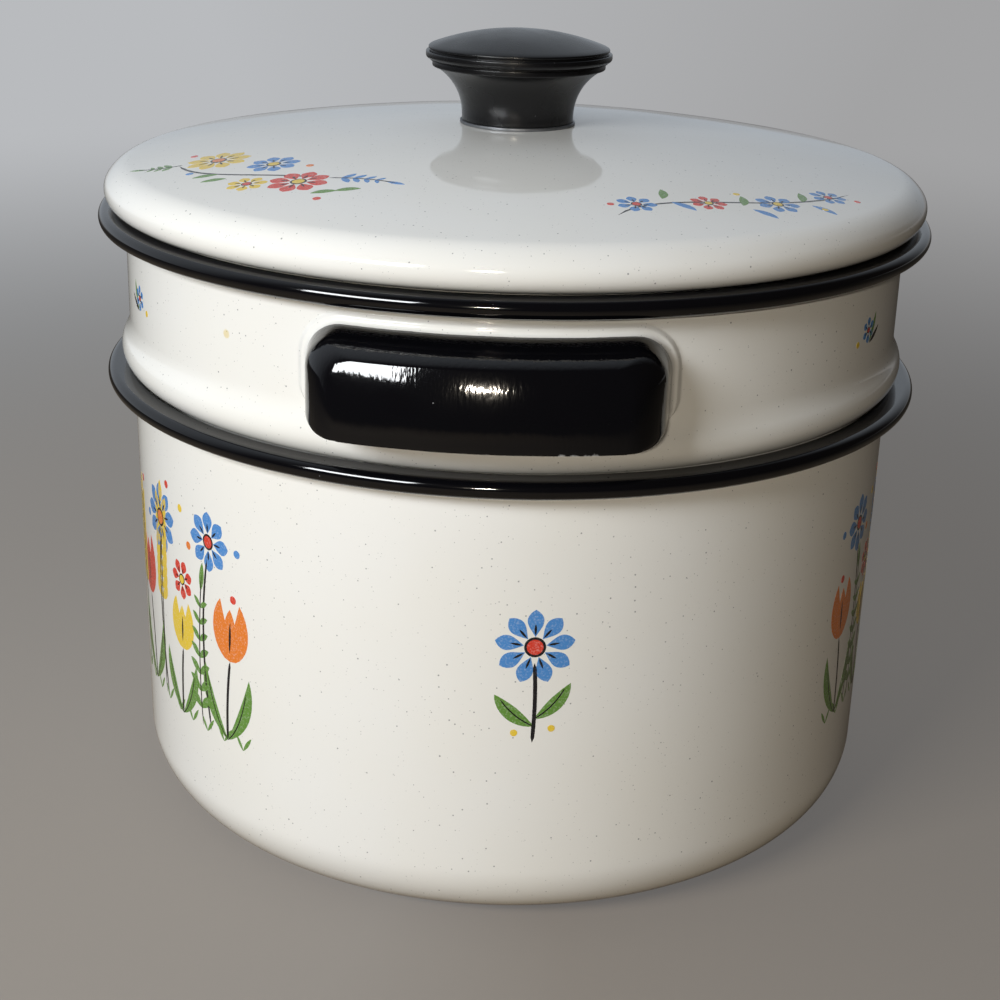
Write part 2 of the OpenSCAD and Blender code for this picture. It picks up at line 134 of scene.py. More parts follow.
class LidSizes(bpy.types.PropertyGroup):
    """Sizes of the lid."""
    edge: size("Edge", "Outer radius of the rounded drop edge", 4.4 * MM)
    shoulder: size("Shoulder", "Outer radius between the dome and the drop edge", 10 * MM)
    dome_slope: FloatProperty(name="Dome slope", description="Slope of the dome at the shoulder",
                              default=math.radians(11), unit="ROTATION")
    edge_slope: FloatProperty(name="Edge slope", description="Slope of the shoulder at the drop edge",
                              default=math.radians(55), unit="ROTATION")
    mouth_gap: size("Mouth gap", "Gap between the locating ring and the pot's mouth", 1.5 * MM)
    ring_bend: size("Ring bend", "Outer radius between the hem and the locating ring", 2 * MM)
    seat_gap: size("Seat gap", "Gap between the lid's hem and the rim under it", 0.3 * MM)
    flat: size("Flat", "Radius of the flat under the knob", 17 * MM)
    hole: size("Hole", "Radius of the hole for the knob's screw", 2.7 * MM)


class KnobSizes(bpy.types.PropertyGroup):
    """Sizes of the knob's moulding and its cap."""
    foot: size("Foot", "Radius of the foot", 15.1 * MM)
    foot_height: size("Foot height", "Height of the straight foot", 1.4 * MM)
    flare: size("Flare", "Radius of the hollow flare", 14.5 * MM)
    flare_turn: FloatProperty(name="Flare turn", description="Angle that the flare turns through",
                              default=math.radians(61), unit="ROTATION")
    lip: size("Lip", "Height of the lip under the groove", 1.65 * MM)
    band_round: size("Band rounding", "Radius of the raised band's lower edge", 0.9 * MM)
    groove: size("Groove", "Depth and height of the grooves", 0.45 * MM)
    cap_edge: size("Cap edge", "Height of the cap's straight edge", 1.3 * MM)
    pocket: size("Pocket", "Radius of the pocket for the brass bush", 4.55 * MM)
    pocket_depth: size("Pocket depth", "Depth of that pocket", 12.05 * MM)
    spigot: size("Spigot", "Radius of the cap's locating spigot", 12 * MM)
    spigot_depth: size("Spigot depth", "Depth of that spigot", 3 * MM)
    round: size("Rounding", "Radius of the small rounded edges", 0.35 * MM)
    fit: size("Fit", "Gap round the spigot", 0.05 * MM)


class Colours(bpy.types.PropertyGroup):
    """Colours of the finishes and the fired prints."""
    white: tint("White enamel", "Off-white ground coat", "#e6e6e4")
    speck: tint("Specks", "Dark specks in the white enamel", "#5a5c63")
    stain: tint("Stain", "Old stains on the white enamel", "#d9c16a")
    black: tint("Black enamel", "Black coat of rims and handles", "#08080b")
    dust: tint("Pits", "Pinholes and dust in the black enamel", "#9a9a9e")
    phenolic: tint("Phenolic", "Black moulding of the knob", "#09090b")
    zinc: tint("Zinc", "Plated disc, screw and washers", "#84868a")
    brass: tint("Brass", "Threaded bush", "#c49a45")
    floor: tint("Floor", "Matt paint of the floor", "#85796a")
    # Far floor: darker paint away from the pots, painted shade so that the pots mirror a dark floor in front
    far_floor_painted_shade: tint("Far floor", "The same paint away from the pots", "#645c52")
    backdrop: tint("Backdrop", "Tone of what lies far away to the left", "#b9bbbe")
    # Dim backdrop: darker to the right as painted shade, as if the backdrop were lit from the left
    backdrop_painted_shade: tint("Dim backdrop", "The same tone to the right", "#a3a3a4")
    dim_room: tint("Dim room", "The room in front of the pots, as they mirror it", "#2a2624")
    pale_room: tint("Pale room", "The room behind the pots, as they mirror it", "#b4bbc3")


class StageSettings(bpy.types.PropertyGroup):
    """Camera and light. Angles are round the pots, from the front handle towards +X."""
    turn: FloatProperty(name="Turn", description="Angle of the camera's axes round the pots",
                        default=math.radians(3.6), unit="ROTATION")
    across: size("Across", "Place of the camera across its view", -5.956 * MM)
    distance: size("Distance", "Distance of the camera from the axis of the pots", 493.42 * MM)
    height: size("Height", "Height of the camera over the table", 263.71 * MM)
    pitch: FloatProperty(name="Pitch", description="Angle that the camera looks down",
                         default=0.35964, unit="ROTATION")
    yaw: FloatProperty(name="Yaw", description="Angle that the camera looks aside",
                       default=0.00823, unit="ROTATION")
    roll: FloatProperty(name="Roll", description="Angle that the camera leans",
                        default=0.02732, unit="ROTATION")
    lens: FloatProperty(name="Lens", description="Focal length on a 36 mm sensor, in millimetres",
                        default=64.8)
    key_power: FloatProperty(name="Window light", description="Power of the window light in watts",
                             default=7.6, min=0)
    lamp_power: FloatProperty(name="Warm lamp", description="Power of the small warm lamp in watts",
                              default=3.6, min=0)


# Shapes

def aim(degrees):
    """Unit vectors at angles in degrees."""
    a = np.radians(degrees)
    return np.stack([np.cos(a), np.sin(a)], axis=-1)


def arc(centre, radius, start, end, step=3.0, longest=2 * MM):
    """Points centre + radius * (cos a, sin a) for a from start to end in degrees."""
    turn = abs(end - start)
    n = max(1, math.ceil(turn / step), math.ceil(abs(radius) * math.radians(turn) / longest))
    return np.asarray(centre) + radius * aim(np.linspace(start, end, n + 1))


def end_at(point, degrees):
    """An end or a corner of a sheet, with its outer face towards an angle."""
    return (point, 0.0, degrees, degrees, 1)


def folded(bends, thickness):
    """Closed outline of a sheet folded along bends (centre, outer face's radius, from, to, side).

    Side is 1 where the outer face is the far one from the centre, and -1 where it is the near one. The
    outline is the outer face's points in order, then the inner face's points in reverse.
    """
    outer = [arc(c, r, a, b) for c, r, a, b, side in bends]
    inner = [arc(c, r - side * thickness, a, b) for c, r, a, b, side in bends]
    return np.concatenate(outer + [np.concatenate(inner)[::-1]])


def filled(outline, longest=3 * MM):
    """A closed outline with points added along its straight stretches, at most a longest step apart."""
    closed = np.concatenate([outline, outline[:1]])
    steps = np.linalg.norm(np.diff(closed, axis=0), axis=1)
    along = np.concatenate([[0], np.cumsum(steps)])
    counts = np.maximum(np.ceil(steps / longest), 1).astype(int)
    within = np.arange(counts.sum()) - np.repeat(np.cumsum(counts) - counts, counts)
    places = np.repeat(along[:-1], counts) + within * np.repeat(steps / counts, counts)
    return np.stack([np.interp(places, along, closed[:, k]) for k in (0, 1)], axis=-1)


def spun(outline, count=RINGS):
    """Grid of a closed outline (r, z) turned round Z: (r sin a, -r cos a, z) for a over a full turn."""
    outline = filled(outline)
    a = np.linspace(0, 2 * np.pi, count, endpoint=False)[:, None]
    r, z = outline[None, :, 0], outline[None, :, 1]
    return np.stack([r * np.sin(a), -r * np.cos(a), z + 0 * a], axis=-1)


def ripple(points, depth, span):
    """Depth of the unevenness at each point, from 0 to depth: the mean of ten plane waves through a tanh."""
    rng = np.random.default_rng(11)
    ways = rng.normal(size=(3, 10))
    ways *= 2 * np.pi / (np.linalg.norm(ways, axis=0) * span * rng.uniform(0.6, 1.7, 10))
    mean = np.sin(points @ ways + rng.uniform(0, 2 * np.pi, 10)).mean(axis=-1)
    return depth * (0.5 + 0.5 * np.tanh(2.5 * mean))


def grid_quads(rows, cols, around_rows, around_cols, start):
    """Corner indices of the cells of a grid, closed round either way where asked."""
    r = np.arange(rows if around_rows else rows - 1)[:, None]
    c = np.arange(cols if around_cols else cols - 1)[None, :]
    r2, c2 = (r + 1) % rows, (c + 1) % cols
    corners = [r * cols + c, r * cols + c2, r2 * cols + c2, r2 * cols + c]
    return np.stack([k.ravel() for k in np.broadcast_arrays(*corners)], axis=-1) + start


def make_piece(name, grids, looks, body, nodes=(), slot=None, crease=40.0, uneven=None):
    """One closed mesh from grids (points, closed round rows, closed round columns, material index).

    The grids' shared edges are welded and their faces turned outwards. Uneven is (depth, span): each
    point then moves in along its normal by ripple(point, depth, span).
    """
    points, quads, index, start = [], [], [], 0
    for grid, around_rows, around_cols, material in grids:
        rows, cols = grid.shape[:2]
        cells = grid_quads(rows, cols, around_rows, around_cols, start)
        points.append(grid.reshape(-1, 3))
        quads.append(cells)
        index.append(np.full(len(cells), material, np.int32))
        start += rows * cols
    mesh = bpy.data.meshes.new(name)
    mesh.from_pydata(np.concatenate(points), [], np.concatenate(quads))
    mesh.polygons.foreach_set("material_index", np.concatenate(index))
    work = bmesh.new()
    work.from_mesh(mesh)
    bmesh.ops.remove_doubles(work, verts=work.verts, dist=0.001 * MM)
    bmesh.ops.recalc_face_normals(work, faces=work.faces)
    work.to_mesh(mesh)
    work.free()
    if uneven:
        co = np.zeros((len(mesh.vertices), 3), np.float32)
        out = np.zeros_like(co)
        mesh.vertices.foreach_get("co", co.ravel())
        mesh.vertex_normals.foreach_get("vector", out.ravel())
        co -= out * ripple(co, *uneven)[:, None]
        mesh.vertices.foreach_set("co", co.ravel())
    mesh.shade_smooth()
    mesh.set_sharp_from_angle(angle=math.radians(crease))
    for look in looks:
        mesh.materials.append(look)
    piece = bpy.data.objects.new(name, mesh)
    bpy.context.scene.collection.objects.link(piece)
    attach(piece, body)
    if nodes:
        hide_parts(*nodes)
    return piece


def leg(long_side, side):
    """The other leg of a right triangle."""
    return math.sqrt(long_side * long_side - side * side)


def rim_outline(sizes, rim_box):
    """Outline of a rolled rim: up the wall, out over the bend, and round the curl through 275 degrees."""
    reach, top = rim_box[1].x, rim_box[1].z
    wall = reach - sizes.rim_reach
    bend = (wall - sizes.sheet + sizes.rim_bend, top - sizes.rim_bend)
    curl = (reach - sizes.curl, top - sizes.curl)
    return folded([
        end_at((wall, rim_box[0].z), 0),
        (bend, sizes.rim_bend - sizes.sheet, 180, 90, -1),
        (curl, sizes.curl - sizes.sheet, 90, -185, -1)], sizes.sheet)


def lower_wall(sizes):
    """Wall radius of the lower pot, and the centre of its foot's bend."""
    wall = LOWER_RIM[1].x - sizes.rim_reach
    centre = (wall - sizes.lower_draft - sizes.lower_foot, sizes.lower_foot)
    return wall, centre


def upper_curves(sizes):
    """Centres of the upper pot's shoulder, neck and swell, which hang it in the lower rim's bend."""
    lower = LOWER_RIM[1].x - sizes.rim_reach - sizes.sheet
    bend = (lower + sizes.rim_bend, LOWER_RIM[1].z - sizes.rim_bend)
    wall = UPPER_RIM[1].x - sizes.rim_reach
    sunk = lower - sizes.steam_gap
    shoulder_r = UPPER_SHELL[1].x - sizes.shoulder
    rest = sizes.rim_bend + sizes.seat_gap + sizes.shoulder
    shoulder = np.array([shoulder_r, bend[1] + leg(rest, bend[0] - shoulder_r)])
    drop = leg(sizes.shoulder + sizes.neck, sunk + sizes.neck - shoulder_r)
    rise = leg(sizes.shoulder + sizes.swell, wall + sizes.swell - shoulder_r)
    neck = np.array([sunk + sizes.neck, shoulder[1] - drop])
    swell = np.array([wall + sizes.swell, shoulder[1] + rise])
    return wall, sunk, shoulder, neck, swell


def bearing(start, end):
    """Angle in degrees from one point of a profile to another."""
    return math.degrees(math.atan2(end[1] - start[1], end[0] - start[0]))


def lid_curves(sizes):
    """Centres of the lid's edge and shoulder, and the radius and centre height of its dome."""
    edge_slope, dome_slope = math.degrees(sizes.edge_slope), math.degrees(sizes.dome_slope)
    under = UPPER_RIM[1].z + sizes.seat_gap
    edge = np.array([LID[1].x - sizes.edge, under + sizes.edge])
    shoulder = edge - (sizes.shoulder - sizes.edge) * aim(90 - edge_slope)
    dome_edge = shoulder + sizes.shoulder * aim(90 - dome_slope)
    dome_r = dome_edge[0] / math.sin(sizes.dome_slope)
    dome_z = dome_edge[1] - dome_r * math.cos(sizes.dome_slope)
    return edge, shoulder, dome_r, dome_z, under


# Handle

def rounded(u, v, half_w, half_h, corner):
    """A square's point (u, v) carried to a rectangle whose corners are round.

    A point past both straight stretches is drawn in along its ray from the corner's centre.
    """
    m = np.maximum(abs(u), abs(v))
    radius = corner * m
    over_u = abs(u) * half_w - (half_w * m - radius)
    over_v = abs(v) * half_h - (half_h * m - radius)
    bent = (over_u > 0) & (over_v > 0)
    k = np.where(bent, radius / np.maximum(np.hypot(over_u, over_v), 1e-12), 1.0)
    x = np.where(bent, half_w * m - radius + over_u * k, abs(u) * half_w)
    z = np.where(bent, half_h * m - radius + over_v * k, abs(v) * half_h)
    return np.sign(u) * x, np.sign(v) * z


def handle_rows(handle, sheet, out):
    """Rows of both faces of the cup: (inset at the ends, inset at the top, height off the wall, depth).

    The outer face has the flange, its fillet, the side, which leans in evenly all the way, and on top of
    that lean the edge, a quarter of an ellipse that ends on the crown. The inner face is the same at the
    sheet's depth, and has no flange.
    """
    fillet = handle.flange / 2
    foot = handle.flange_height + fillet
    start = out - handle.edge
    rim = [(t * fillet, handle.flange_height * t * t * (3 - 2 * t)) for t in np.linspace(0, 1, 8)]
    hollow = arc((handle.flange - fillet, foot), fillet, -90, 0, step=11.25)
    outer = [(i - handle.flange, i - handle.flange, h, 0) for i, h in rim + list(hollow)]
    leans, widths = (handle.end_lean, handle.top_lean), (handle.end_edge, handle.top_edge)
    inner = [(sheet, sheet, foot * k / (len(outer) - 1), 0) for k in range(len(outer))]
    turns = [(1.0, 0.0, foot + (start - foot) * k / 6) for k in range(1, 6)]
    turns += [(c, s, start + handle.edge * s) for c, s in aim(np.linspace(0, 90, 31))]
    for rows, deep in ((outer, 0), (inner, sheet)):
        for c, s, height in turns:
            share = (height - foot) / (out - foot)
            inset = [lean * share + deep + (wide - deep) * (1 - c) for lean, wide in zip(leans, widths)]
            rows.append((*inset, height, deep * s))
    return outer, inner


def handle_grids(pots, handle, turn):
    """Closed cup: both faces as one grid that is closed round its rows, and its two lower edges.

    A column runs from the flange to the middle of the open edge. At share m the square's point is
    (m u, -1 + m (v + 1)) for a point (u, v) of the square's left, upper and right sides. A point's distance
    from the axis is wall + height + (crown - wall - out) * (height / out) ** 2, where the crown is a circle
    in the side view.
    """
    wall, _, _, _, swell = upper_curves(pots)
    top, low, face_r = HANDLE[1].z - handle.flange, HANDLE[0].z, -HANDLE[0].y
    out = face_r - wall
    side, across, face_rows = 48, 150, 40
    up = np.linspace(-1, 1, side + 1)
    over = np.linspace(-1, 1, across + 1)[1:-1]
    edge_u = np.concatenate([-np.ones(side + 1), over, np.ones(side + 1)])
    edge_v = np.concatenate([up, np.ones(across - 1), up[::-1]])
    skins = []
    for rows in handle_rows(handle, pots.sheet, out):
        shares = np.concatenate([np.ones(len(rows)), 1 - np.linspace(0, 1, face_rows + 1)[1:] ** 1.6])
        end_in, top_in, height, deep = np.array(rows + [rows[-1]] * face_rows).T[:, :, None]
        u = shares[:, None] * edge_u
        v = -1 + shares[:, None] * (edge_v + 1)
        row_top = top - top_in
        corner = np.maximum(np.where(v > 0, handle.top_corner, handle.low_corner) - top_in, 0.35 * MM)
        x, z = rounded(u, v, handle.width / 2 - end_in, (row_top - low) / 2, corner)
        z = z + (row_top + low) / 2
        hollow = swell[0] - np.sqrt(np.maximum(pots.swell ** 2 - (swell[1] - z) ** 2, 0))
        on_wall = np.where(z >= swell[1], wall, hollow) + 0.05 * MM
        over_low = z - low - handle.crown_rise
        crown = face_r - handle.crown + np.sqrt((handle.crown - deep) ** 2 - over_low ** 2)
        r = on_wall + height + (crown - on_wall - out) * (height / out) ** 2
        y = -np.sqrt(r * r - x * x)
        skins.append(np.stack([turn * x, turn * y, z], axis=-1))
    outer, inner = skins
    loop = np.concatenate([outer, inner[::-1]])
    ends = [np.stack([outer[:, k], inner[:, k]], axis=1) for k in (0, -1)]
    return [(loop, True, False, 0)] + [(end, False, False, 0) for end in ends]


# Prints

INKS = {
    "blue": "#4a86c8", "black": "#17171c", "red": "#cf3b2a", "yellow": "#e2c23c",
    "green": "#5f8a3a", "orange": "#dd7a2c",
}
INK_ORDER = list(INKS)


def curve(points, count=13):
    """Points of a Bezier curve of any order, by its Bernstein weights."""
    points = np.asarray(points, float)
    s = np.linspace(0, 1, count)[:, None]
    n = len(points) - 1
    return sum(math.comb(n, k) * (1 - s) ** (n - k) * s ** k * points[k] for k in range(n + 1))


def bowed(base, tip, bow):
    """Three points of a curve from base to tip, its middle set to the left by a share of its length."""
    base, tip = np.asarray(base, float), np.asarray(tip, float)
    aside = np.array([base[1] - tip[1], tip[0] - base[0]])
    return [base, (base + tip) / 2 + bow * aside, tip]


def leaf(ink, base, tip, half_width, bow=0.0, blunt=1.0, layer=0):
    """A stroke from base to tip, bowed to its left, of half width half_width * sin(pi s**blunt)**0.8."""
    line = curve(bowed(base, tip, bow))
    s = np.linspace(0, 1, len(line))
    return ink, layer, line, half_width * np.sin(np.pi * s ** blunt) ** 0.8


def stalk(ink, points, half_width, layer=1):
    """A line of even width with rounded ends along a Bezier curve."""
    line = curve(points, 17)
    s = np.linspace(-1, 1, len(line))
    return ink, layer, line, half_width * (1 - s ** 12) ** 0.5


def disc(ink, centre, radius, layer=1):
    """A round spot: at angle a its line is centre - radius cos a, and its half width radius sin a."""
    a = np.linspace(0, np.pi, 13)
    line = np.asarray(centre, float) + np.stack([-radius * np.cos(a), 0 * a], axis=-1)
    return ink, layer, line, radius * np.sin(a)


def daisy(ink, heart, centre, inner, outer, petals, half_width, turn=0.0):
    """Petals all round, each from the inner to the outer radius, and a ringed heart."""
    centre = np.asarray(centre, float)
    strokes = []
    for way in aim(turn + 360 * np.arange(petals) / petals):
        strokes.append(leaf(ink, centre + inner * way, centre + outer * way, half_width, blunt=1.35))
        strokes.append(leaf("black", centre + 1.15 * inner * way, centre + 0.62 * outer * way,
                            0.09 * half_width + 0.12, layer=1))
    strokes.append(disc("black", centre, inner * 0.98, layer=1))
    strokes.append(disc(heart, centre, inner * 0.74, layer=2))
    return strokes


def tulip(ink, base, height, half_width, lean=0.0):
    """A cup of three petals on a stalk that leans, with two long leaves."""
    base = np.asarray(base, float)
    head = base + [lean, 0.58 * height]
    tip = base + [1.3 * lean, height]
    strokes = [stalk("black", [base, base + [0, 0.3 * height], head], 0.45)]
    for side in (-1, 1):
        strokes.append(leaf("green", base, base + [side * 1.5 * half_width, 0.5 * height],
                            0.34 * half_width, bow=-0.22 * side))
        strokes.append(stalk("black", [base, base + [side * 0.9 * half_width, 0.12 * height],
                                       base + [side * 1.3 * half_width, 0.4 * height]], 0.16))
        strokes.append(leaf(ink, head, tip + [side * 0.62 * half_width, 0], 0.5 * half_width,
                            bow=-0.24 * side, blunt=0.8))
    strokes.append(leaf(ink, head, tip + [0, -0.05 * height], 0.42 * half_width, layer=1))
    strokes.append(leaf("black", head + [0, 0.06 * height], tip + [0, -0.14 * height], 0.07 * half_width,
                        layer=2))
    return strokes


def ear(ink, base, height, lean=0.0):
    """An ear of wheat: a stalk with pairs of short grains."""
    base = np.asarray(base, float)
    tip = base + [lean, height]
    line = curve([base, base + [0, 0.5 * height], tip], 19)
    strokes = [stalk("black", [base, base + [0, 0.5 * height], tip], 0.28)]
    for p in line[9:18]:
        for side in (-1, 1):
            strokes.append(leaf(ink, p, p + [side * 0.065 * height, 0.085 * height], 0.021 * height + 0.2,
                                bow=-0.2 * side))
    strokes.append(leaf(ink, tip - [0, 0.01 * height], tip + [0, 0.1 * height], 0.025 * height))
    return strokes


def frond(ink, base, tip, bow, pairs, length):
    """A bowed stem with pairs of leaves that shorten towards its tip."""
    stem = bowed(base, tip, bow)
    line = curve(stem, pairs + 3)
    along = np.gradient(line, axis=0)
    along /= np.linalg.norm(along, axis=1, keepdims=True)
    strokes = [stalk("black", stem, 0.22)]
    for k in range(1, pairs + 1):
        reach = length * (1 - 0.45 * k / pairs)
        for side in (-1, 1):
            way = 0.62 * along[k] + 0.8 * side * np.array([-along[k][1], along[k][0]])
            strokes.append(leaf(ink, line[k], line[k] + reach * way, 0.2 * reach, bow=-0.12 * side))
    strokes.append(leaf(ink, line[-2], stem[2] + 0.5 * length * along[-1], 0.15 * length))
    return strokes


def dots(radius, *places):
    """Round spots of one radius at each (x, z, ink)."""
    return [disc(ink, (x, z), radius) for x, z, ink in places]


def faced(strokes, way):
    """The strokes as drawn where way is 1, and mirrored where it is -1."""
    return [(ink, layer, line * [way, 1], width) for ink, layer, line, width in strokes]


def small_motif():
    """A daisy on a stalk with two leaves, for the middle of a wall."""
    return (daisy("blue", "red", (0, 8.2), 2.7, 9.8, 9, 2.0, turn=90)
            + [stalk("black", [(0, 4), (0.8, -6), (0, -17.5)], 0.5, layer=0),
               leaf("green", (0.3, -13), (-9.5, -4.5), 1.9, bow=0.16),
               leaf("green", (0.3, -11), (9, -1.5), 1.8, bow=-0.16),
               stalk("black", [(0.3, -13), (-5, -10.5), (-8, -5.8)], 0.17),
               stalk("black", [(0.3, -11), (5, -8), (7.6, -2.8)], 0.17)]
            + dots(0.9, (-4.5, -14.8, "yellow"), (4.6, -13.6, "yellow")))


def meadow(way):
    """Tulips, daisies, wheat and fronds side by side on a low line, for a side of the lower pot."""
    strokes = (tulip("red", (-20, -30), 43, 6.5, lean=-2.5)
               + tulip("yellow", (2, -31), 34, 5.6, lean=1.5)
               + tulip("orange", (24, -30), 40, 6.0, lean=2.0)
               + ear("yellow", (-29.5, -30), 52, lean=-1.5)
               + ear("yellow", (-10, -30), 57, lean=2.0)
               + frond("green", (13, -30), (15, 14), 0.06, 7, 7.0)
               + [stalk("black", [(-8, -30), (-13, -5), (-9, 17)], 0.4, layer=0)]
               + [stalk("black", [(17, -30), (12, -4), (18, 20)], 0.4, layer=0)]
               + daisy("blue", "orange", (-8.6, 22), 2.6, 9.6, 9, 2.1, turn=12)
               + daisy("blue", "red", (18.5, 24), 2.2, 8.2, 8, 2.0, turn=0)
               + daisy("red", "yellow", (4.5, 9), 1.6, 5.6, 7, 1.5, turn=20))
    strokes += dots(1.1, (-27, 27, "red"), (5, 29, "yellow"), (-19, 20, "blue"), (28, 11, "red"),
                    (9, 20, "orange"), (-3, 33, "red"), (30, 24, "blue"))
    for k in range(9):
        x = -30 + 7.5 * k
        strokes.append(leaf("green", (x, -31), (x + 3.2, -26.5), 0.55))
        strokes.append(leaf("green", (x, -31), (x - 2.4, -27), 0.5))
    return faced(strokes, way)


def sprig(way):
    """A small flower with two narrow leaves and a spot, for the upper wall."""
    return faced(daisy("blue", "red", (1.2, 0.5), 0.9, 3.4, 6, 0.95, turn=30)
                 + [leaf("green", (2.2, -2.6), (5.4, 4.6), 0.8, bow=-0.12),
                    leaf("black", (2.2, -3), (8.2, 0.6), 0.65, bow=-0.1),
                    disc("yellow", (-4.6, -2.2), 0.85)], way)


def garland():
    """A bowed row of flowers and leaves, for the left of the lid."""
    strokes = (daisy("yellow", "orange", (-20, 4), 2.2, 8.4, 9, 1.9, turn=5)
               + daisy("red", "yellow", (15, -3.5), 2.1, 7.8, 8, 2.0, turn=15)
               + daisy("blue", "yellow", (-2, 5.5), 1.9, 6.8, 8, 1.7)
               + daisy("yellow", "red", (4, -10), 1.4, 5.2, 7, 1.4, turn=40)
               + frond("blue", (20, 2), (37, 7), 0.12, 4, 5.0)
               + frond("green", (-27, -2), (-37, -8), 0.15, 3, 4.6)
               + [stalk("black", [(-27, -3), (-12, -12), (0, -2), (20, 2)], 0.4, layer=0)])
    for x, z in [(-14, -11), (-9, -13), (24, -9), (28, -5)]:
        strokes.append(leaf("green", (x, z), (x + 4.5, z + 4.5), 1.2, bow=0.15))
    return strokes + dots(1.0, (-31, 6, "red"), (8, 8, "orange"), (28, -11, "red"), (-18, -8, "blue"))


def wreath():
    """Small flowers along a wavy line, with leaves between them, for the right of the lid."""
    strokes = [stalk("black", [(-36, -3), (-18, 10), (4, -12), (34, 4)], 0.35, layer=0)]
    for x, z, ink, heart, outer in [(-28, 2.4, "blue", "red", 5.0), (-10, -0.5, "red", "yellow", 4.6),
                                    (8, -3, "blue", "yellow", 5.6), (26, 1.6, "blue", "red", 4.8)]:
        strokes += daisy(ink, heart, (x, z), 0.27 * outer, outer, 7, 0.25 * outer, turn=10 + 3 * x)
    for x, z, way, ink in [(-20, 4.2, 1, "green"), (-19, 1.6, -1, "blue"), (-2, -3.2, 1, "green"),
                           (-1, -5.8, -1, "blue"), (16, -1.6, 1, "green"), (17, -4.2, -1, "blue")]:
        strokes.append(leaf(ink, (x, z), (x + 3.2, z + 6.2 * way), 1.15, bow=-0.15 * way))
    return strokes + dots(0.85, (-34, 4, "red"), (33, -1, "red"), (1, 4.5, "yellow"), (19, -7, "yellow"))


def print_grids(strokes, place, scale=MM):
    """Thin closed slab for each stroke, laid on a surface by place(u, v, lift).

    A cell's top is at t from -1 to 1 across the line, and the slab's underside lies in the enamel.
    """
    t = np.array([-1.0, -0.5, 0.0, 0.5, 1.0, 1.0, -1.0])
    top = np.array([1.0, 1.0, 1.0, 1.0, 1.0, 0.0, 0.0])
    grids = []
    for ink, layer, line, width in strokes:
        along = np.gradient(line, axis=0)
        along /= np.maximum(np.linalg.norm(along, axis=1, keepdims=True), 1e-9)
        aside = np.stack([-along[:, 1], along[:, 0]], axis=-1)
        flat = line[:, None] + t[None, :, None] * (aside * width[:, None])[:, None]
        lift = np.where(top > 0, 0.02 + 0.02 * layer, -0.1) * MM
        grids.append((place(flat[..., 0] * scale, flat[..., 1] * scale, lift + 0 * flat[..., 0]),
                      False, True, INK_ORDER.index(ink)))
    return grids


def on_wall(pots, middle, height, radius_at):
    """Places (u, v) at angle middle + u / radius and height + v of a wall whose radius depends on height."""
    def place(u, v, lift):
        z = height + v
        r = radius_at(z)
        a = math.radians(middle) + u / r
        way = np.stack([np.sin(a), -np.cos(a), 0 * a], axis=-1)
        points = r[..., None] * way + np.stack([0 * z, 0 * z, z], axis=-1)
        sunk = ripple(points, pots.unevenness, pots.uneven_span)
        return points + (lift - sunk)[..., None] * way
    return place


def on_lid(pots, lid, middle, distance, turn=0.0):
    """Places (u, v) on the dome, with u across and v towards the knob, turned about the print's middle."""
    _, _, dome_r, dome_z, _ = lid_curves(lid)
    a, b = math.radians(middle), math.radians(turn)
    across, inwards = np.array([math.cos(a), math.sin(a)]), np.array([-math.sin(a), math.cos(a)])
    across, inwards = (math.cos(b) * across + math.sin(b) * inwards,
                       -math.sin(b) * across + math.cos(b) * inwards)
    origin = distance * np.array([math.sin(a), -math.cos(a)])
    def place(u, v, lift):
        plan = origin + u[..., None] * across + v[..., None] * inwards
        z = dome_z + np.sqrt(dome_r ** 2 - (plan ** 2).sum(axis=-1))
        points = np.concatenate([plan, z[..., None]], axis=-1)
        way = (points - [0, 0, dome_z]) / dome_r
        sunk = ripple(points, pots.unevenness, pots.uneven_span)
        return points + (lift - sunk)[..., None] * way
    return place


# Materials

def add(tree, kind, sockets=None, **settings):
    """Adds a node. Each socket gets a value, or the output that feeds it."""
    node = tree.nodes.new(kind)
    for name, value in settings.items():
        setattr(node, name, value)
    for key, value in (sockets or {}).items():
        if isinstance(value, bpy.types.NodeSocket):
            tree.links.new(value, node.inputs[key])
        else:
            node.inputs[key].default_value = value
    return node


def maths(tree, operation, *values):
    """Result of an operation on numbers."""
    return add(tree, "ShaderNodeMath", dict(enumerate(values)), operation=operation).outputs[0]


def vector(tree, operation, *values):
    """Outputs of an operation on vectors: a vector, and a number by the name of Value."""
    return add(tree, "ShaderNodeVectorMath", dict(enumerate(values)), operation=operation).outputs


def ramp(tree, value, start, end, low=0.0, high=1.0, **settings):
    """A value carried from the range start to end to the range low to high, and held at its ends."""
    return add(tree, "ShaderNodeMapRange", {"Value": value, "From Min": start, "From Max": end,
                                            "To Min": low, "To Max": high}, **settings).outputs[0]


def noise(tree, place, span, detail, roughness=0.5):
    """Cloudy noise from 0 to 1, whose widest waves are about a span wide."""
    return add(tree, "ShaderNodeTexNoise", {"Vector": place, "Scale": 1 / span, "Detail": detail,
                                            "Roughness": roughness}).outputs["Fac"]


def new_look(name):
    """An empty material with its output, and the place of the shaded point."""
    look = bpy.data.materials.new(name)
    look.use_nodes = True
    look.node_tree.nodes.clear()
    tree = look.node_tree
    return look, tree, add(tree, "ShaderNodeTexCoord").outputs["Object"]


def close_look(tree, **sockets):
    """Ends a material with its shader. A name's underscores stand for spaces."""
    named = {key.replace("_", " "): value for key, value in sockets.items()}
    shader = add(tree, "ShaderNodeBsdfPrincipled", named)
    add(tree, "ShaderNodeOutputMaterial", {"Surface": shader.outputs[0]})


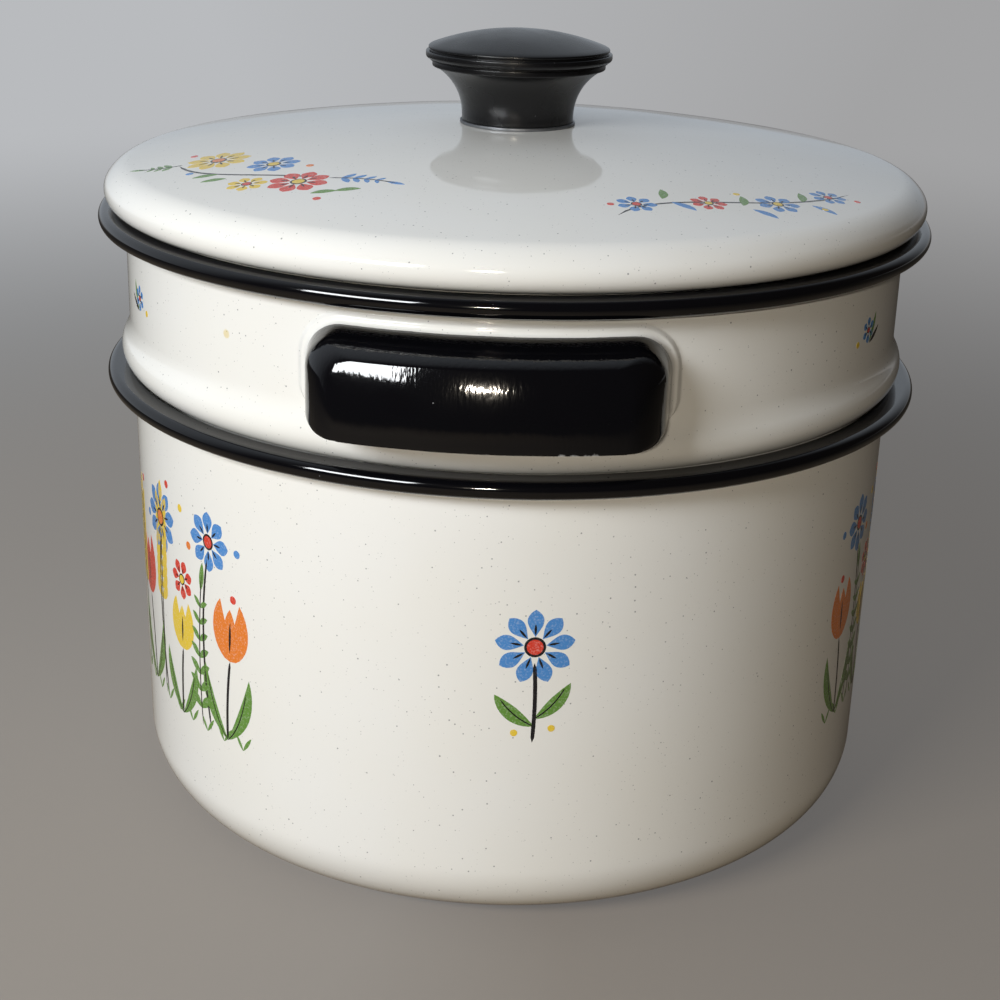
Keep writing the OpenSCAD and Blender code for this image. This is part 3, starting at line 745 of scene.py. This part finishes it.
def spots(tree, place, spacing, radius, share):
    """Mask of round spots: one in a share of the cells of a cellular pattern, of uneven size."""
    cells = add(tree, "ShaderNodeTexVoronoi", {"Vector": place, "Scale": 1 / spacing})
    chance = add(tree, "ShaderNodeSeparateColor", {"Color": cells.outputs["Color"]}).outputs
    reach = ramp(tree, chance["Green"], 0.0, 1.0, 0.45 * radius / spacing, radius / spacing)
    near = maths(tree, "DIVIDE", cells.outputs["Distance"], reach)
    kept = maths(tree, "LESS_THAN", chance["Red"], share)
    return maths(tree, "MULTIPLY", ramp(tree, near, 0.75, 1.15, 1.0, 0.0), kept)


def mixed(tree, mask, first, second):
    """Colour that goes from the first to the second by a mask."""
    node = add(tree, "ShaderNodeMix", {"Factor": mask}, data_type="RGBA")
    for key, value in (("A", first), ("B", second)):
        socket = [s for s in node.inputs if s.name == key and s.type == "RGBA"][0]
        if isinstance(value, bpy.types.NodeSocket):
            tree.links.new(value, socket)
        else:
            socket.default_value = value
    return [s for s in node.outputs if s.type == "RGBA"][0]


def scaled(tree, value, factor):
    """A value times a factor."""
    return maths(tree, "MULTIPLY", value, factor)


# Index of refraction of the enamel, and the width and depth of the waves in its glaze
ENAMEL_IOR = 1.54
GLAZE_WAVES = (4.5 * MM, 0.012 * MM)


def white_glaze(tree, place, colours):
    """Colour of the off-white coat: a faint cloudiness, and dark specks 0.15 to 0.5 mm across."""
    shade = ramp(tree, noise(tree, place, 50 * MM, 2.0), 0.35, 0.7, high=0.05)
    ground = mixed(tree, shade, colours.white, colours.stain)
    coarse = scaled(tree, spots(tree, place, 2.0 * MM, 0.24 * MM, 0.5), 0.7)
    fine = scaled(tree, spots(tree, place, 1.1 * MM, 0.15 * MM, 0.5), 0.45)
    return mixed(tree, fine, mixed(tree, coarse, ground, colours.speck), colours.speck)


def black_glaze(tree, place, colours):
    """Colour of the black coat: pinholes and dust under half a millimetre across."""
    pits = scaled(tree, spots(tree, place, 5.5 * MM, 0.2 * MM, 0.3), 0.8)
    return mixed(tree, pits, colours.black, colours.dust)


def glaze_bump(tree, place, span, depth):
    """Normal of a glaze that ran as it melted: soft waves, finer than the sheet's own unevenness."""
    waves = noise(tree, place, span, 3.0, 0.45)
    return add(tree, "ShaderNodeBump", {"Height": waves, "Distance": depth}).outputs[0]


def ragged(tree, place, distance, level, soft, grain, reach):
    """Mask that turns from 0 to 1 where a distance passes a level, along a ragged hand-brushed line."""
    moved = maths(tree, "MULTIPLY_ADD", noise(tree, place, grain, 4.0, 0.7), 2 * reach, distance)
    return ramp(tree, moved, level + reach - soft, level + reach + soft)


def marked(tree, place, colour, marks, tone):
    """Colour with marks of wear in a tone: each (angle, distance from the axis, height, radius, strength)."""
    for degrees, distance, height, radius, strength in marks:
        a = math.radians(degrees)
        centre = (distance * math.sin(a), -distance * math.cos(a), height)
        away = vector(tree, "DISTANCE", place, centre)["Value"]
        outside = ragged(tree, place, away, 0.8 * radius, 0.15 * radius, 0.8 * radius, 0.35 * radius)
        inside = maths(tree, "SUBTRACT", 1.0, outside)
        colour = mixed(tree, scaled(tree, inside, strength), colour, tone)
    return colour


def enamel(name, colours, blacken=None, stains=(), chips=(), brushed=0.0, gloss=(0.045, 0.1)):
    """Vitreous enamel fired on pressed steel: glossy glass with a slightly uneven surface.

    It gives the eye sharp reflections that wander a little. Blacken is None for a white coat, or a function
    of the tree and the place that returns the mask of the black coat. Stains and chips are marks of wear,
    chips on the black coat. Brushed is the depth of fine upright runs in the coat, which draw a mirrored
    lamp out into streaks. Gloss is the range of the roughness.
    """
    look, tree, place = new_look(name)
    colour = marked(tree, place, white_glaze(tree, place, colours), stains, colours.stain)
    if blacken:
        colour = mixed(tree, blacken(tree, place), colour, black_glaze(tree, place, colours))
    colour = marked(tree, place, colour, chips, colours.white)
    rough = ramp(tree, noise(tree, place, 18 * MM, 3.0), 0.3, 0.75, *gloss)
    normal = glaze_bump(tree, place, *GLAZE_WAVES)
    if brushed:
        runs = noise(tree, vector(tree, "MULTIPLY", place, (1.0, 1.0, 0.12))[0], 0.7 * MM, 1.0)
        normal = add(tree, "ShaderNodeBump", {"Height": runs, "Distance": brushed, "Normal": normal}).outputs[0]
    close_look(tree, Base_Color=colour, Roughness=rough, IOR=ENAMEL_IOR, Normal=normal)
    return look


def height_of(tree, place):
    """Height of the shaded point."""
    return add(tree, "ShaderNodeSeparateXYZ", {"Vector": place}).outputs["Z"]


def over_height(level, grain, reach):
    """Black above a height: the sprayed fringe of a rim's coat, or the coat of the curl itself."""
    def mask(tree, place):
        return ragged(tree, place, height_of(tree, place), level, 0.06 * MM, grain, reach)
    return mask


def away_from_axis(level):
    """Black past a distance from the pots' axis: a handle's coat, which leaves its welded foot white."""
    def mask(tree, place):
        flat = vector(tree, "MULTIPLY", place, (1, 1, 0))[0]
        out = vector(tree, "LENGTH", flat)["Value"]
        return ragged(tree, place, out, level, 0.05 * MM, 2.5 * MM, 0.25 * MM)
    return mask


def fired_ink(ink, colours):
    """Screen-printed ceramic colour, fired into the glaze: as glossy as the enamel, with a fine grain."""
    look, tree, place = new_look("fired_ink_" + ink)
    thinnest = 0.04 if ink == "black" else 0.3
    thin = ramp(tree, noise(tree, place, 0.5 * MM, 2.0), 0.5, 0.8, high=thinnest)
    colour = mixed(tree, thin, linear(INKS[ink]), colours.white)
    close_look(tree, Base_Color=colour, Roughness=0.09, IOR=ENAMEL_IOR,
               Normal=glaze_bump(tree, place, *GLAZE_WAVES))
    return look


def phenolic(colours):
    """Compression-moulded phenolic, buffed: a satin black with faint turning marks from polishing."""
    look, tree, place = new_look("moulded_phenolic")
    grain = scaled(tree, noise(tree, place, 0.9 * MM, 4.0), 0.008)
    dust = scaled(tree, spots(tree, place, 4.5 * MM, 0.13 * MM, 0.3), 0.3)
    tone = mixed(tree, dust, mixed(tree, grain, colours.phenolic, colours.dust), colours.dust)
    rough = ramp(tree, noise(tree, place, 12 * MM, 2.0), 0.3, 0.7, 0.2, 0.32)
    close_look(tree, Base_Color=tone, Roughness=rough, IOR=1.45,
               Normal=glaze_bump(tree, place, 0.7 * MM, 0.003 * MM))
    return look


def metal(name, colour, roughness, span):
    """Sheet or turned metal: dulled by handling, with broad stains that change its gloss."""
    look, tree, place = new_look(name)
    haze = noise(tree, place, span, 5.0)
    dark = tuple(0.6 * c for c in colour[:3]) + (1.0,)
    close_look(tree, Base_Color=mixed(tree, ramp(tree, haze, 0.5, 0.8), tuple(colour), dark), Metallic=1.0,
               Roughness=ramp(tree, haze, 0.3, 0.7, roughness - 0.08, roughness + 0.1))
    return look


def dress(node, look):
    """Gives a packed node its finish in place of the plain one."""
    node.data.materials.clear()
    node.data.materials.append(look)


# Operators

class BOILER_OT_lower_pot(bpy.types.Operator):
    """Builds the lower pot: its white shell and its black rolled rim"""
    bl_idname = "boiler.lower_pot"
    bl_label = "Lower pot"

    def execute(self, context):
        pots, colours = context.scene.boiler_pots, context.scene.boiler_colours
        wall, foot = lower_wall(pots)
        split = LOWER_RIM[0].z
        outline = folded([
            end_at((0, pots.base_lift), -90),
            end_at((pots.base_panel, pots.base_lift), -90),
            end_at((pots.base_panel + 3 * pots.base_lift, 0), -90),
            (foot, pots.lower_foot, -90, 0, 1),
            end_at((wall, split), 0)], pots.sheet)
        uneven = (pots.unevenness, pots.uneven_span)
        shell_look = enamel("white_enamel_lower_shell", colours,
                            over_height(split - 0.6 * MM, 1.1 * MM, 0.5 * MM))
        rim_look = enamel("black_enamel_lower_rim", colours,
                          over_height(LOWER_RIM[1].z - 4.35 * MM, 0.5 * MM, 0.28 * MM))
        make_piece("lower_pot_shell_enamelled", [(spun(outline), True, True, 0)], [shell_look], "lower_pot",
                   ["lower_pot_shell"], "white_enamel", uneven=uneven)
        make_piece("lower_pot_rim_enamelled", [(spun(rim_outline(pots, LOWER_RIM), RIM_RINGS), True, True, 0)],
                   [rim_look], "lower_pot", ["lower_pot_rim"], "black_enamel", uneven=uneven)
        return {"FINISHED"}


class BOILER_OT_upper_pot(bpy.types.Operator):
    """Builds the upper pot: its white shell with the resting shoulder and its black rolled rim"""
    bl_idname = "boiler.upper_pot"
    bl_label = "Upper pot"

    def execute(self, context):
        pots, colours = context.scene.boiler_pots, context.scene.boiler_colours
        wall, sunk, shoulder, neck, swell = upper_curves(pots)
        base, split = UPPER_SHELL[0].z, UPPER_RIM[0].z
        foot = (sunk - pots.upper_draft - pots.upper_foot, base + pots.upper_foot)
        neck_a, swell_a = bearing(neck, shoulder), bearing(shoulder, swell)
        outline = folded([
            end_at((0, base), -90),
            (foot, pots.upper_foot, -90, 0, 1),
            (neck, pots.neck, 180, neck_a, -1),
            (shoulder, pots.shoulder, neck_a - 180, swell_a, 1),
            (swell, pots.swell, swell_a + 180, 180, -1),
            end_at((wall, split), 0)], pots.sheet)
        uneven = (pots.unevenness, pots.uneven_span)
        stains = [(-36.9, wall, 148.7 * MM, 1.3 * MM, 0.55), (-55.3, wall, 131.1 * MM, 1.1 * MM, 0.5)]
        shell_look = enamel("white_enamel_upper_shell", colours,
                            over_height(split - 0.6 * MM, 1.1 * MM, 0.5 * MM), stains)
        rim_look = enamel("black_enamel_upper_rim", colours,
                          over_height(UPPER_RIM[1].z - 4.9 * MM, 0.9 * MM, 0.22 * MM))
        make_piece("upper_pot_shell_enamelled", [(spun(outline), True, True, 0)], [shell_look], "upper_pot",
                   ["upper_pot_shell"], "white_enamel", uneven=uneven)
        make_piece("upper_pot_rim_enamelled", [(spun(rim_outline(pots, UPPER_RIM), RIM_RINGS), True, True, 0)],
                   [rim_look], "upper_pot", ["upper_pot_rim"], "black_enamel", uneven=uneven)
        return {"FINISHED"}


class BOILER_OT_handles(bpy.types.Operator):
    """Builds the two pressed cup handles on the upper pot"""
    bl_idname = "boiler.handles"
    bl_label = "Handles"

    def execute(self, context):
        pots, handle = context.scene.boiler_pots, context.scene.boiler_handles
        wall = upper_curves(pots)[0]
        chips = [(degrees, -HANDLE[0].y, HANDLE[0].z - below, 1.8 * MM, 0.5) for degrees, below in
                 ((0.7, 1.35 * MM), (8.4, 1.25 * MM), (9.6, 1.2 * MM), (10.9, 1.3 * MM), (11.8, 1.25 * MM))]
        look = enamel("black_enamel_handle", context.scene.boiler_colours,
                      away_from_axis(wall + handle.white_foot), chips=chips, brushed=0.03 * MM,
                      gloss=(0.045, 0.09))
        for side, turn in (("front", 1), ("rear", -1)):
            make_piece(side + "_handle_enamelled", handle_grids(pots, handle, turn), [look], "upper_pot",
                       [side + "_handle"], "black_enamel", uneven=(handle.unevenness, handle.uneven_span))
        return {"FINISHED"}


class BOILER_OT_lid(bpy.types.Operator):
    """Builds the lid: one sheet from the dome over the drop edge and the hem to the locating ring"""
    bl_idname = "boiler.lid"
    bl_label = "Lid"

    def execute(self, context):
        pots, lid, colours = (context.scene.boiler_pots, context.scene.boiler_lid,
                              context.scene.boiler_colours)
        edge, shoulder, dome_r, dome_z, under = lid_curves(lid)
        dome_slope, edge_slope = math.degrees(lid.dome_slope), math.degrees(lid.edge_slope)
        ring = UPPER_RIM[1].x - pots.rim_reach - pots.sheet - lid.mouth_gap
        bend = (ring + lid.ring_bend, under - lid.ring_bend)
        flat_z = dome_z + leg(dome_r, lid.flat)
        outline = folded([
            end_at((lid.hole, flat_z), 90),
            ((0, dome_z), dome_r, math.degrees(math.acos(lid.flat / dome_r)), 90 - dome_slope, 1),
            (shoulder, lid.shoulder, 90 - dome_slope, 90 - edge_slope, 1),
            (edge, lid.edge, 90 - edge_slope, -90, 1),
            (bend, lid.ring_bend, 90, 180, -1),
            end_at((ring, LID[0].z), 0)], pots.sheet)
        look = enamel("white_enamel_lid", colours)
        make_piece("lid_enamelled", [(spun(outline), True, True, 0)], [look], "lid", ["lid_shell"],
                   "white_enamel", uneven=(pots.unevenness, pots.uneven_span))
        return {"FINISHED"}


class BOILER_OT_knob(bpy.types.Operator):
    """Builds the knob: a waisted moulding, a domed cap and the metal disc under them"""
    bl_idname = "boiler.knob"
    bl_label = "Knob"

    def execute(self, context):
        knob = context.scene.boiler_knob
        low, turn = KNOB[0].z, math.degrees(knob.flare_turn)
        flare = np.array([knob.foot + knob.flare, low + knob.foot_height])
        flare_end = flare + knob.flare * aim(180 - turn)
        lip_r, lip_top = flare_end[0] + knob.round, flare_end[1] + knob.lip
        band_r, cap_r = KNOB[1].x, CAP[1].x
        band_low, band_top = lip_top + knob.groove, KNOB[1].z
        groove_r = cap_r - knob.groove
        recess = knob.spigot + knob.fit
        recess_z = band_top - knob.spigot_depth - knob.fit
        pocket_z = low + knob.pocket_depth
        body = np.concatenate([
            [(knob.pocket, low)],
            arc((knob.foot - knob.round, low + knob.round), knob.round, -90, 0, 15),
            arc(flare, knob.flare, 180, 180 - turn, 2),
            arc((lip_r, flare_end[1] + knob.round), knob.round, -60, 0, 15),
            arc((lip_r, lip_top - knob.round), knob.round, 0, 90, 15),
            [(groove_r, lip_top), (groove_r, band_low)],
            arc((band_r - knob.band_round, band_low + knob.band_round), knob.band_round, -90, 0, 9),
            arc((band_r - knob.round, band_top - knob.round), knob.round, 0, 90, 15),
            [(recess, band_top), (recess, recess_z), (0, recess_z), (0, pocket_z), (knob.pocket, pocket_z)]])
        edge_top, rise = band_top + knob.cap_edge, CAP[1].z - band_top - knob.cap_edge
        dome_r = (cap_r ** 2 + rise ** 2) / (2 * rise)
        reach = cap_r - 2 * knob.round
        cap = np.concatenate([
            [(0, CAP[0].z), (knob.spigot, CAP[0].z), (knob.spigot, band_top), (groove_r, band_top),
             (groove_r, band_top + knob.groove)],
            arc((cap_r - knob.round, band_top + knob.groove + knob.round), knob.round, -90, 0, 15),
            arc((cap_r - knob.round, edge_top - knob.round), knob.round, 0, 60, 15),
            arc((0, CAP[1].z - dome_r), dome_r, math.degrees(math.acos(reach / dome_r)), 90, 1)])
        nip = 0.2 * MM
        disc_r, disc_low, disc_top = FOOT_DISC[1].x, FOOT_DISC[0].z, FOOT_DISC[1].z
        washer = np.concatenate([
            [(context.scene.boiler_lid.hole, disc_low)],
            arc((disc_r - nip, disc_low + nip), nip, -90, 0, 15),
            arc((disc_r - nip, disc_top - nip), nip, 0, 90, 15),
            [(context.scene.boiler_lid.hole, disc_top)]])
        colours = context.scene.boiler_colours
        black = phenolic(colours)
        zinc = metal("zinc_plate", colours.zinc, 0.5, 4 * MM)
        for name, outline, look, node, slot in (
                ("knob_moulding", body, black, "knob_body", "black_phenolic"),
                ("knob_domed_cap", cap, black, "knob_cap", "black_phenolic"),
                ("knob_metal_disc", washer, zinc, "knob_foot_disc", "grey_metal")):
            make_piece(name, [(spun(outline, KNOB_RINGS), True, True, 0)], [look], "lid", [node], slot,
                       crease=50)
        dress(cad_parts["knob_bush"], metal("turned_brass", colours.brass, 0.25, 3 * MM))
        for node in ("knob_screw", "flat_washer", "spring_washer"):
            dress(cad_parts[node], zinc)
        return {"FINISHED"}


class BOILER_OT_prints(bpy.types.Operator):
    """Lays the fired flower prints on the pots and the lid"""
    bl_idname = "boiler.prints"
    bl_label = "Prints"

    def execute(self, context):
        pots, lid, colours = (context.scene.boiler_pots, context.scene.boiler_lid,
                              context.scene.boiler_colours)
        lower_r, foot = lower_wall(pots)
        upper_r = upper_curves(pots)[0]
        rise = LOWER_RIM[0].z - foot[1]
        def lower_at(z):
            return lower_r - pots.lower_draft * (LOWER_RIM[0].z - z) / rise
        def upper_at(z):
            return upper_r + 0 * z
        looks = [fired_ink(ink, colours) for ink in INK_ORDER]
        lower = (print_grids(small_motif(), on_wall(pots, 7.2, 72 * MM, lower_at))
                 + print_grids(small_motif(), on_wall(pots, 187.2, 72 * MM, lower_at))
                 + print_grids(meadow(1), on_wall(pots, -53, 68 * MM, lower_at))
                 + print_grids(meadow(-1), on_wall(pots, 77, 68 * MM, lower_at)))
        upper = (print_grids(sprig(1), on_wall(pots, 60, 147 * MM, upper_at))
                 + print_grids(sprig(-1), on_wall(pots, -61, 147 * MM, upper_at)))
        top = (print_grids(garland(), on_lid(pots, lid, -48, 80 * MM, turn=14))
               + print_grids(wreath(), on_lid(pots, lid, 42, 86 * MM, turn=-12)))
        for body, grids in (("lower_pot", lower), ("upper_pot", upper), ("lid", top)):
            make_piece(body + "_prints", grids, looks, body)
        return {"FINISHED"}


class BOILER_OT_stage(bpy.types.Operator):
    """Sets the floor, the lights and the camera"""
    bl_idname = "boiler.stage"
    bl_label = "Stage"

    def execute(self, context):
        stage, colours = context.scene.boiler_stage, context.scene.boiler_colours
        self.lay_floor(colours)
        self.light_world(colours)
        middle = Vector((0, 0, 0.1))
        for name, degrees, lift, away, width, height, power, colour in (
                ("window", -36, 26, 0.95, 0.46, 0.2, stage.key_power, (0.95, 0.98, 1.0)),
                ("warm_lamp", -3, 18, 1.2, 0.1, 0.012, stage.lamp_power, (1.0, 0.9, 0.74))):
            a, e = math.radians(degrees), math.radians(lift)
            way = Vector((math.sin(a) * math.cos(e), -math.cos(a) * math.cos(e), math.sin(e)))
            data = bpy.data.lights.new(name, "AREA")
            data.shape, data.size, data.size_y = "RECTANGLE", width, height
            data.energy, data.color = power, colour
            lamp = bpy.data.objects.new(name, data)
            lamp.location = middle + away * way
            lamp.rotation_euler = way.to_track_quat("Z", "Y").to_euler()
            context.scene.collection.objects.link(lamp)
        self.set_camera(stage)
        context.scene.view_settings.view_transform = "Standard"
        return {"FINISHED"}

    def lay_floor(self, colours):
        """A wide round floor of pale matt paint, darkened away from the pots by painted shade."""
        turns = aim(np.linspace(0, 360, 96, endpoint=False)) * 6.0
        mesh = bpy.data.meshes.new("floor")
        mesh.from_pydata(np.concatenate([turns, 0 * turns[:, :1]], axis=1), [], [list(range(len(turns)))])
        look, tree, place = new_look("matt_floor_paint_painted_shade")
        away = vector(tree, "LENGTH", place)["Value"]
        # Painted shade: the floor's paint turns darker from 0.25 to 0.6 m out, so that the pots mirror a dark
        # floor
        outer = ramp(tree, away, 0.25, 0.6, interpolation_type="SMOOTHSTEP")
        tone = mixed(tree, outer, colours.floor, colours.far_floor_painted_shade)
        paint = add(tree, "ShaderNodeBsdfDiffuse", {"Color": tone})
        plain = add(tree, "ShaderNodeEmission", {"Color": self.behind(tree, place, colours)})
        path = add(tree, "ShaderNodeLightPath").outputs
        near = ramp(tree, away, 0.2, 1.2, low=0.3, interpolation_type="SMOOTHSTEP")
        back = add(tree, "ShaderNodeSeparateXYZ", {"Vector": place}).outputs["Y"]
        far = ramp(tree, back, 0.6, 2.5, high=0.8, interpolation_type="SMOOTHSTEP")
        straight = maths(tree, "MULTIPLY", path["Is Camera Ray"], near)
        mirrored = maths(tree, "MULTIPLY", path["Is Glossy Ray"], far)
        share = maths(tree, "MAXIMUM", straight, mirrored)
        shader = add(tree, "ShaderNodeMixShader", {0: share, 1: paint.outputs[0], 2: plain.outputs[0]})
        add(tree, "ShaderNodeOutputMaterial", {"Surface": shader.outputs[0]})
        mesh.materials.append(look)
        floor = bpy.data.objects.new("floor", mesh)
        bpy.context.scene.collection.objects.link(floor)

    def behind(self, tree, way, colours):
        """Tone of what lies far away: the backdrop, darker towards the right as painted shade, as if lit from
        the left.
        """
        ahead = vector(tree, "NORMALIZE", way)[0]
        aside = add(tree, "ShaderNodeSeparateXYZ", {"Vector": ahead}).outputs["X"]
        return mixed(tree, ramp(tree, aside, -0.25, 0.2), colours.backdrop, colours.backdrop_painted_shade)

    def light_world(self, colours):
        """A pale room behind the pots and a dim one in front, and a pale ground for the camera with painted
        shade towards the right.
        """
        world = bpy.data.worlds.new("room")
        bpy.context.scene.world = world
        world.use_nodes = True
        tree = world.node_tree
        tree.nodes.clear()
        way = add(tree, "ShaderNodeTexCoord").outputs["Generated"]
        back = vector(tree, "DOT_PRODUCT", way, (-0.45, 0.8, 0.4))["Value"]
        share = ramp(tree, back, 0.1, 0.8, interpolation_type="SMOOTHSTEP")
        room = mixed(tree, share, colours.dim_room, colours.pale_room)
        seen = add(tree, "ShaderNodeLightPath").outputs["Is Camera Ray"]
        ground = mixed(tree, seen, room, self.behind(tree, way, colours))
        light = add(tree, "ShaderNodeBackground", {"Color": ground, "Strength": 1.0})
        add(tree, "ShaderNodeOutputWorld", {"Surface": light.outputs[0]})

    def set_camera(self, stage):
        """The camera's axes: forward from yaw and pitch, then rolled about it, all turned round the pots."""
        ahead = Vector((math.sin(stage.yaw) * math.cos(stage.pitch),
                        math.cos(stage.yaw) * math.cos(stage.pitch), -math.sin(stage.pitch)))
        right = ahead.cross(Vector((0, 0, 1))).normalized()
        up = right.cross(ahead)
        c, s = math.cos(stage.roll), math.sin(stage.roll)
        axes = Matrix((c * right + s * up, c * up - s * right, -ahead)).transposed().to_4x4()
        place = Matrix.Translation((stage.across, -stage.distance, stage.height))
        data = bpy.data.cameras.new("camera")
        data.sensor_width, data.lens = 36.0, stage.lens
        data.clip_start, data.clip_end = 0.01, 50.0
        camera = bpy.data.objects.new("camera", data)
        camera.matrix_world = Matrix.Rotation(stage.turn, 4, "Z") @ place @ axes
        bpy.context.scene.collection.objects.link(camera)
        bpy.context.scene.camera = camera


class BOILER_PT_panel(bpy.types.Panel):
    """Lists the sizes and the steps in the 3D view's sidebar"""
    bl_idname = "BOILER_PT_panel"
    bl_label = "Double boiler"
    bl_space_type = "VIEW_3D"
    bl_region_type = "UI"
    bl_category = "Boiler"

    def draw(self, context):
        for name, group in GROUPS.items():
            box = self.layout.box()
            box.label(text=group.__doc__.split(".")[0])
            for key in group.__annotations__:
                box.prop(getattr(context.scene, name), key)
        for operator in OPERATORS:
            self.layout.operator(operator.bl_idname)


GROUPS = {
    "boiler_pots": PotSizes, "boiler_handles": HandleSizes, "boiler_lid": LidSizes,
    "boiler_knob": KnobSizes, "boiler_colours": Colours, "boiler_stage": StageSettings,
}
OPERATORS = (BOILER_OT_lower_pot, BOILER_OT_upper_pot, BOILER_OT_handles, BOILER_OT_lid, BOILER_OT_knob,
             BOILER_OT_prints, BOILER_OT_stage)
CLASSES = (*GROUPS.values(), *OPERATORS, BOILER_PT_panel)


def register():
    for cls in CLASSES:
        bpy.utils.register_class(cls)
    for name, group in GROUPS.items():
        setattr(bpy.types.Scene, name, PointerProperty(type=group))


def unregister():
    for name in GROUPS:
        delattr(bpy.types.Scene, name)
    for cls in reversed(CLASSES):
        bpy.utils.unregister_class(cls)


def main():
    register()
    bpy.ops.boiler.lower_pot()
    bpy.ops.boiler.upper_pot()
    bpy.ops.boiler.handles()
    bpy.ops.boiler.lid()
    bpy.ops.boiler.knob()
    bpy.ops.boiler.prints()
    bpy.ops.boiler.stage()


if __name__ == "__main__":
    main()
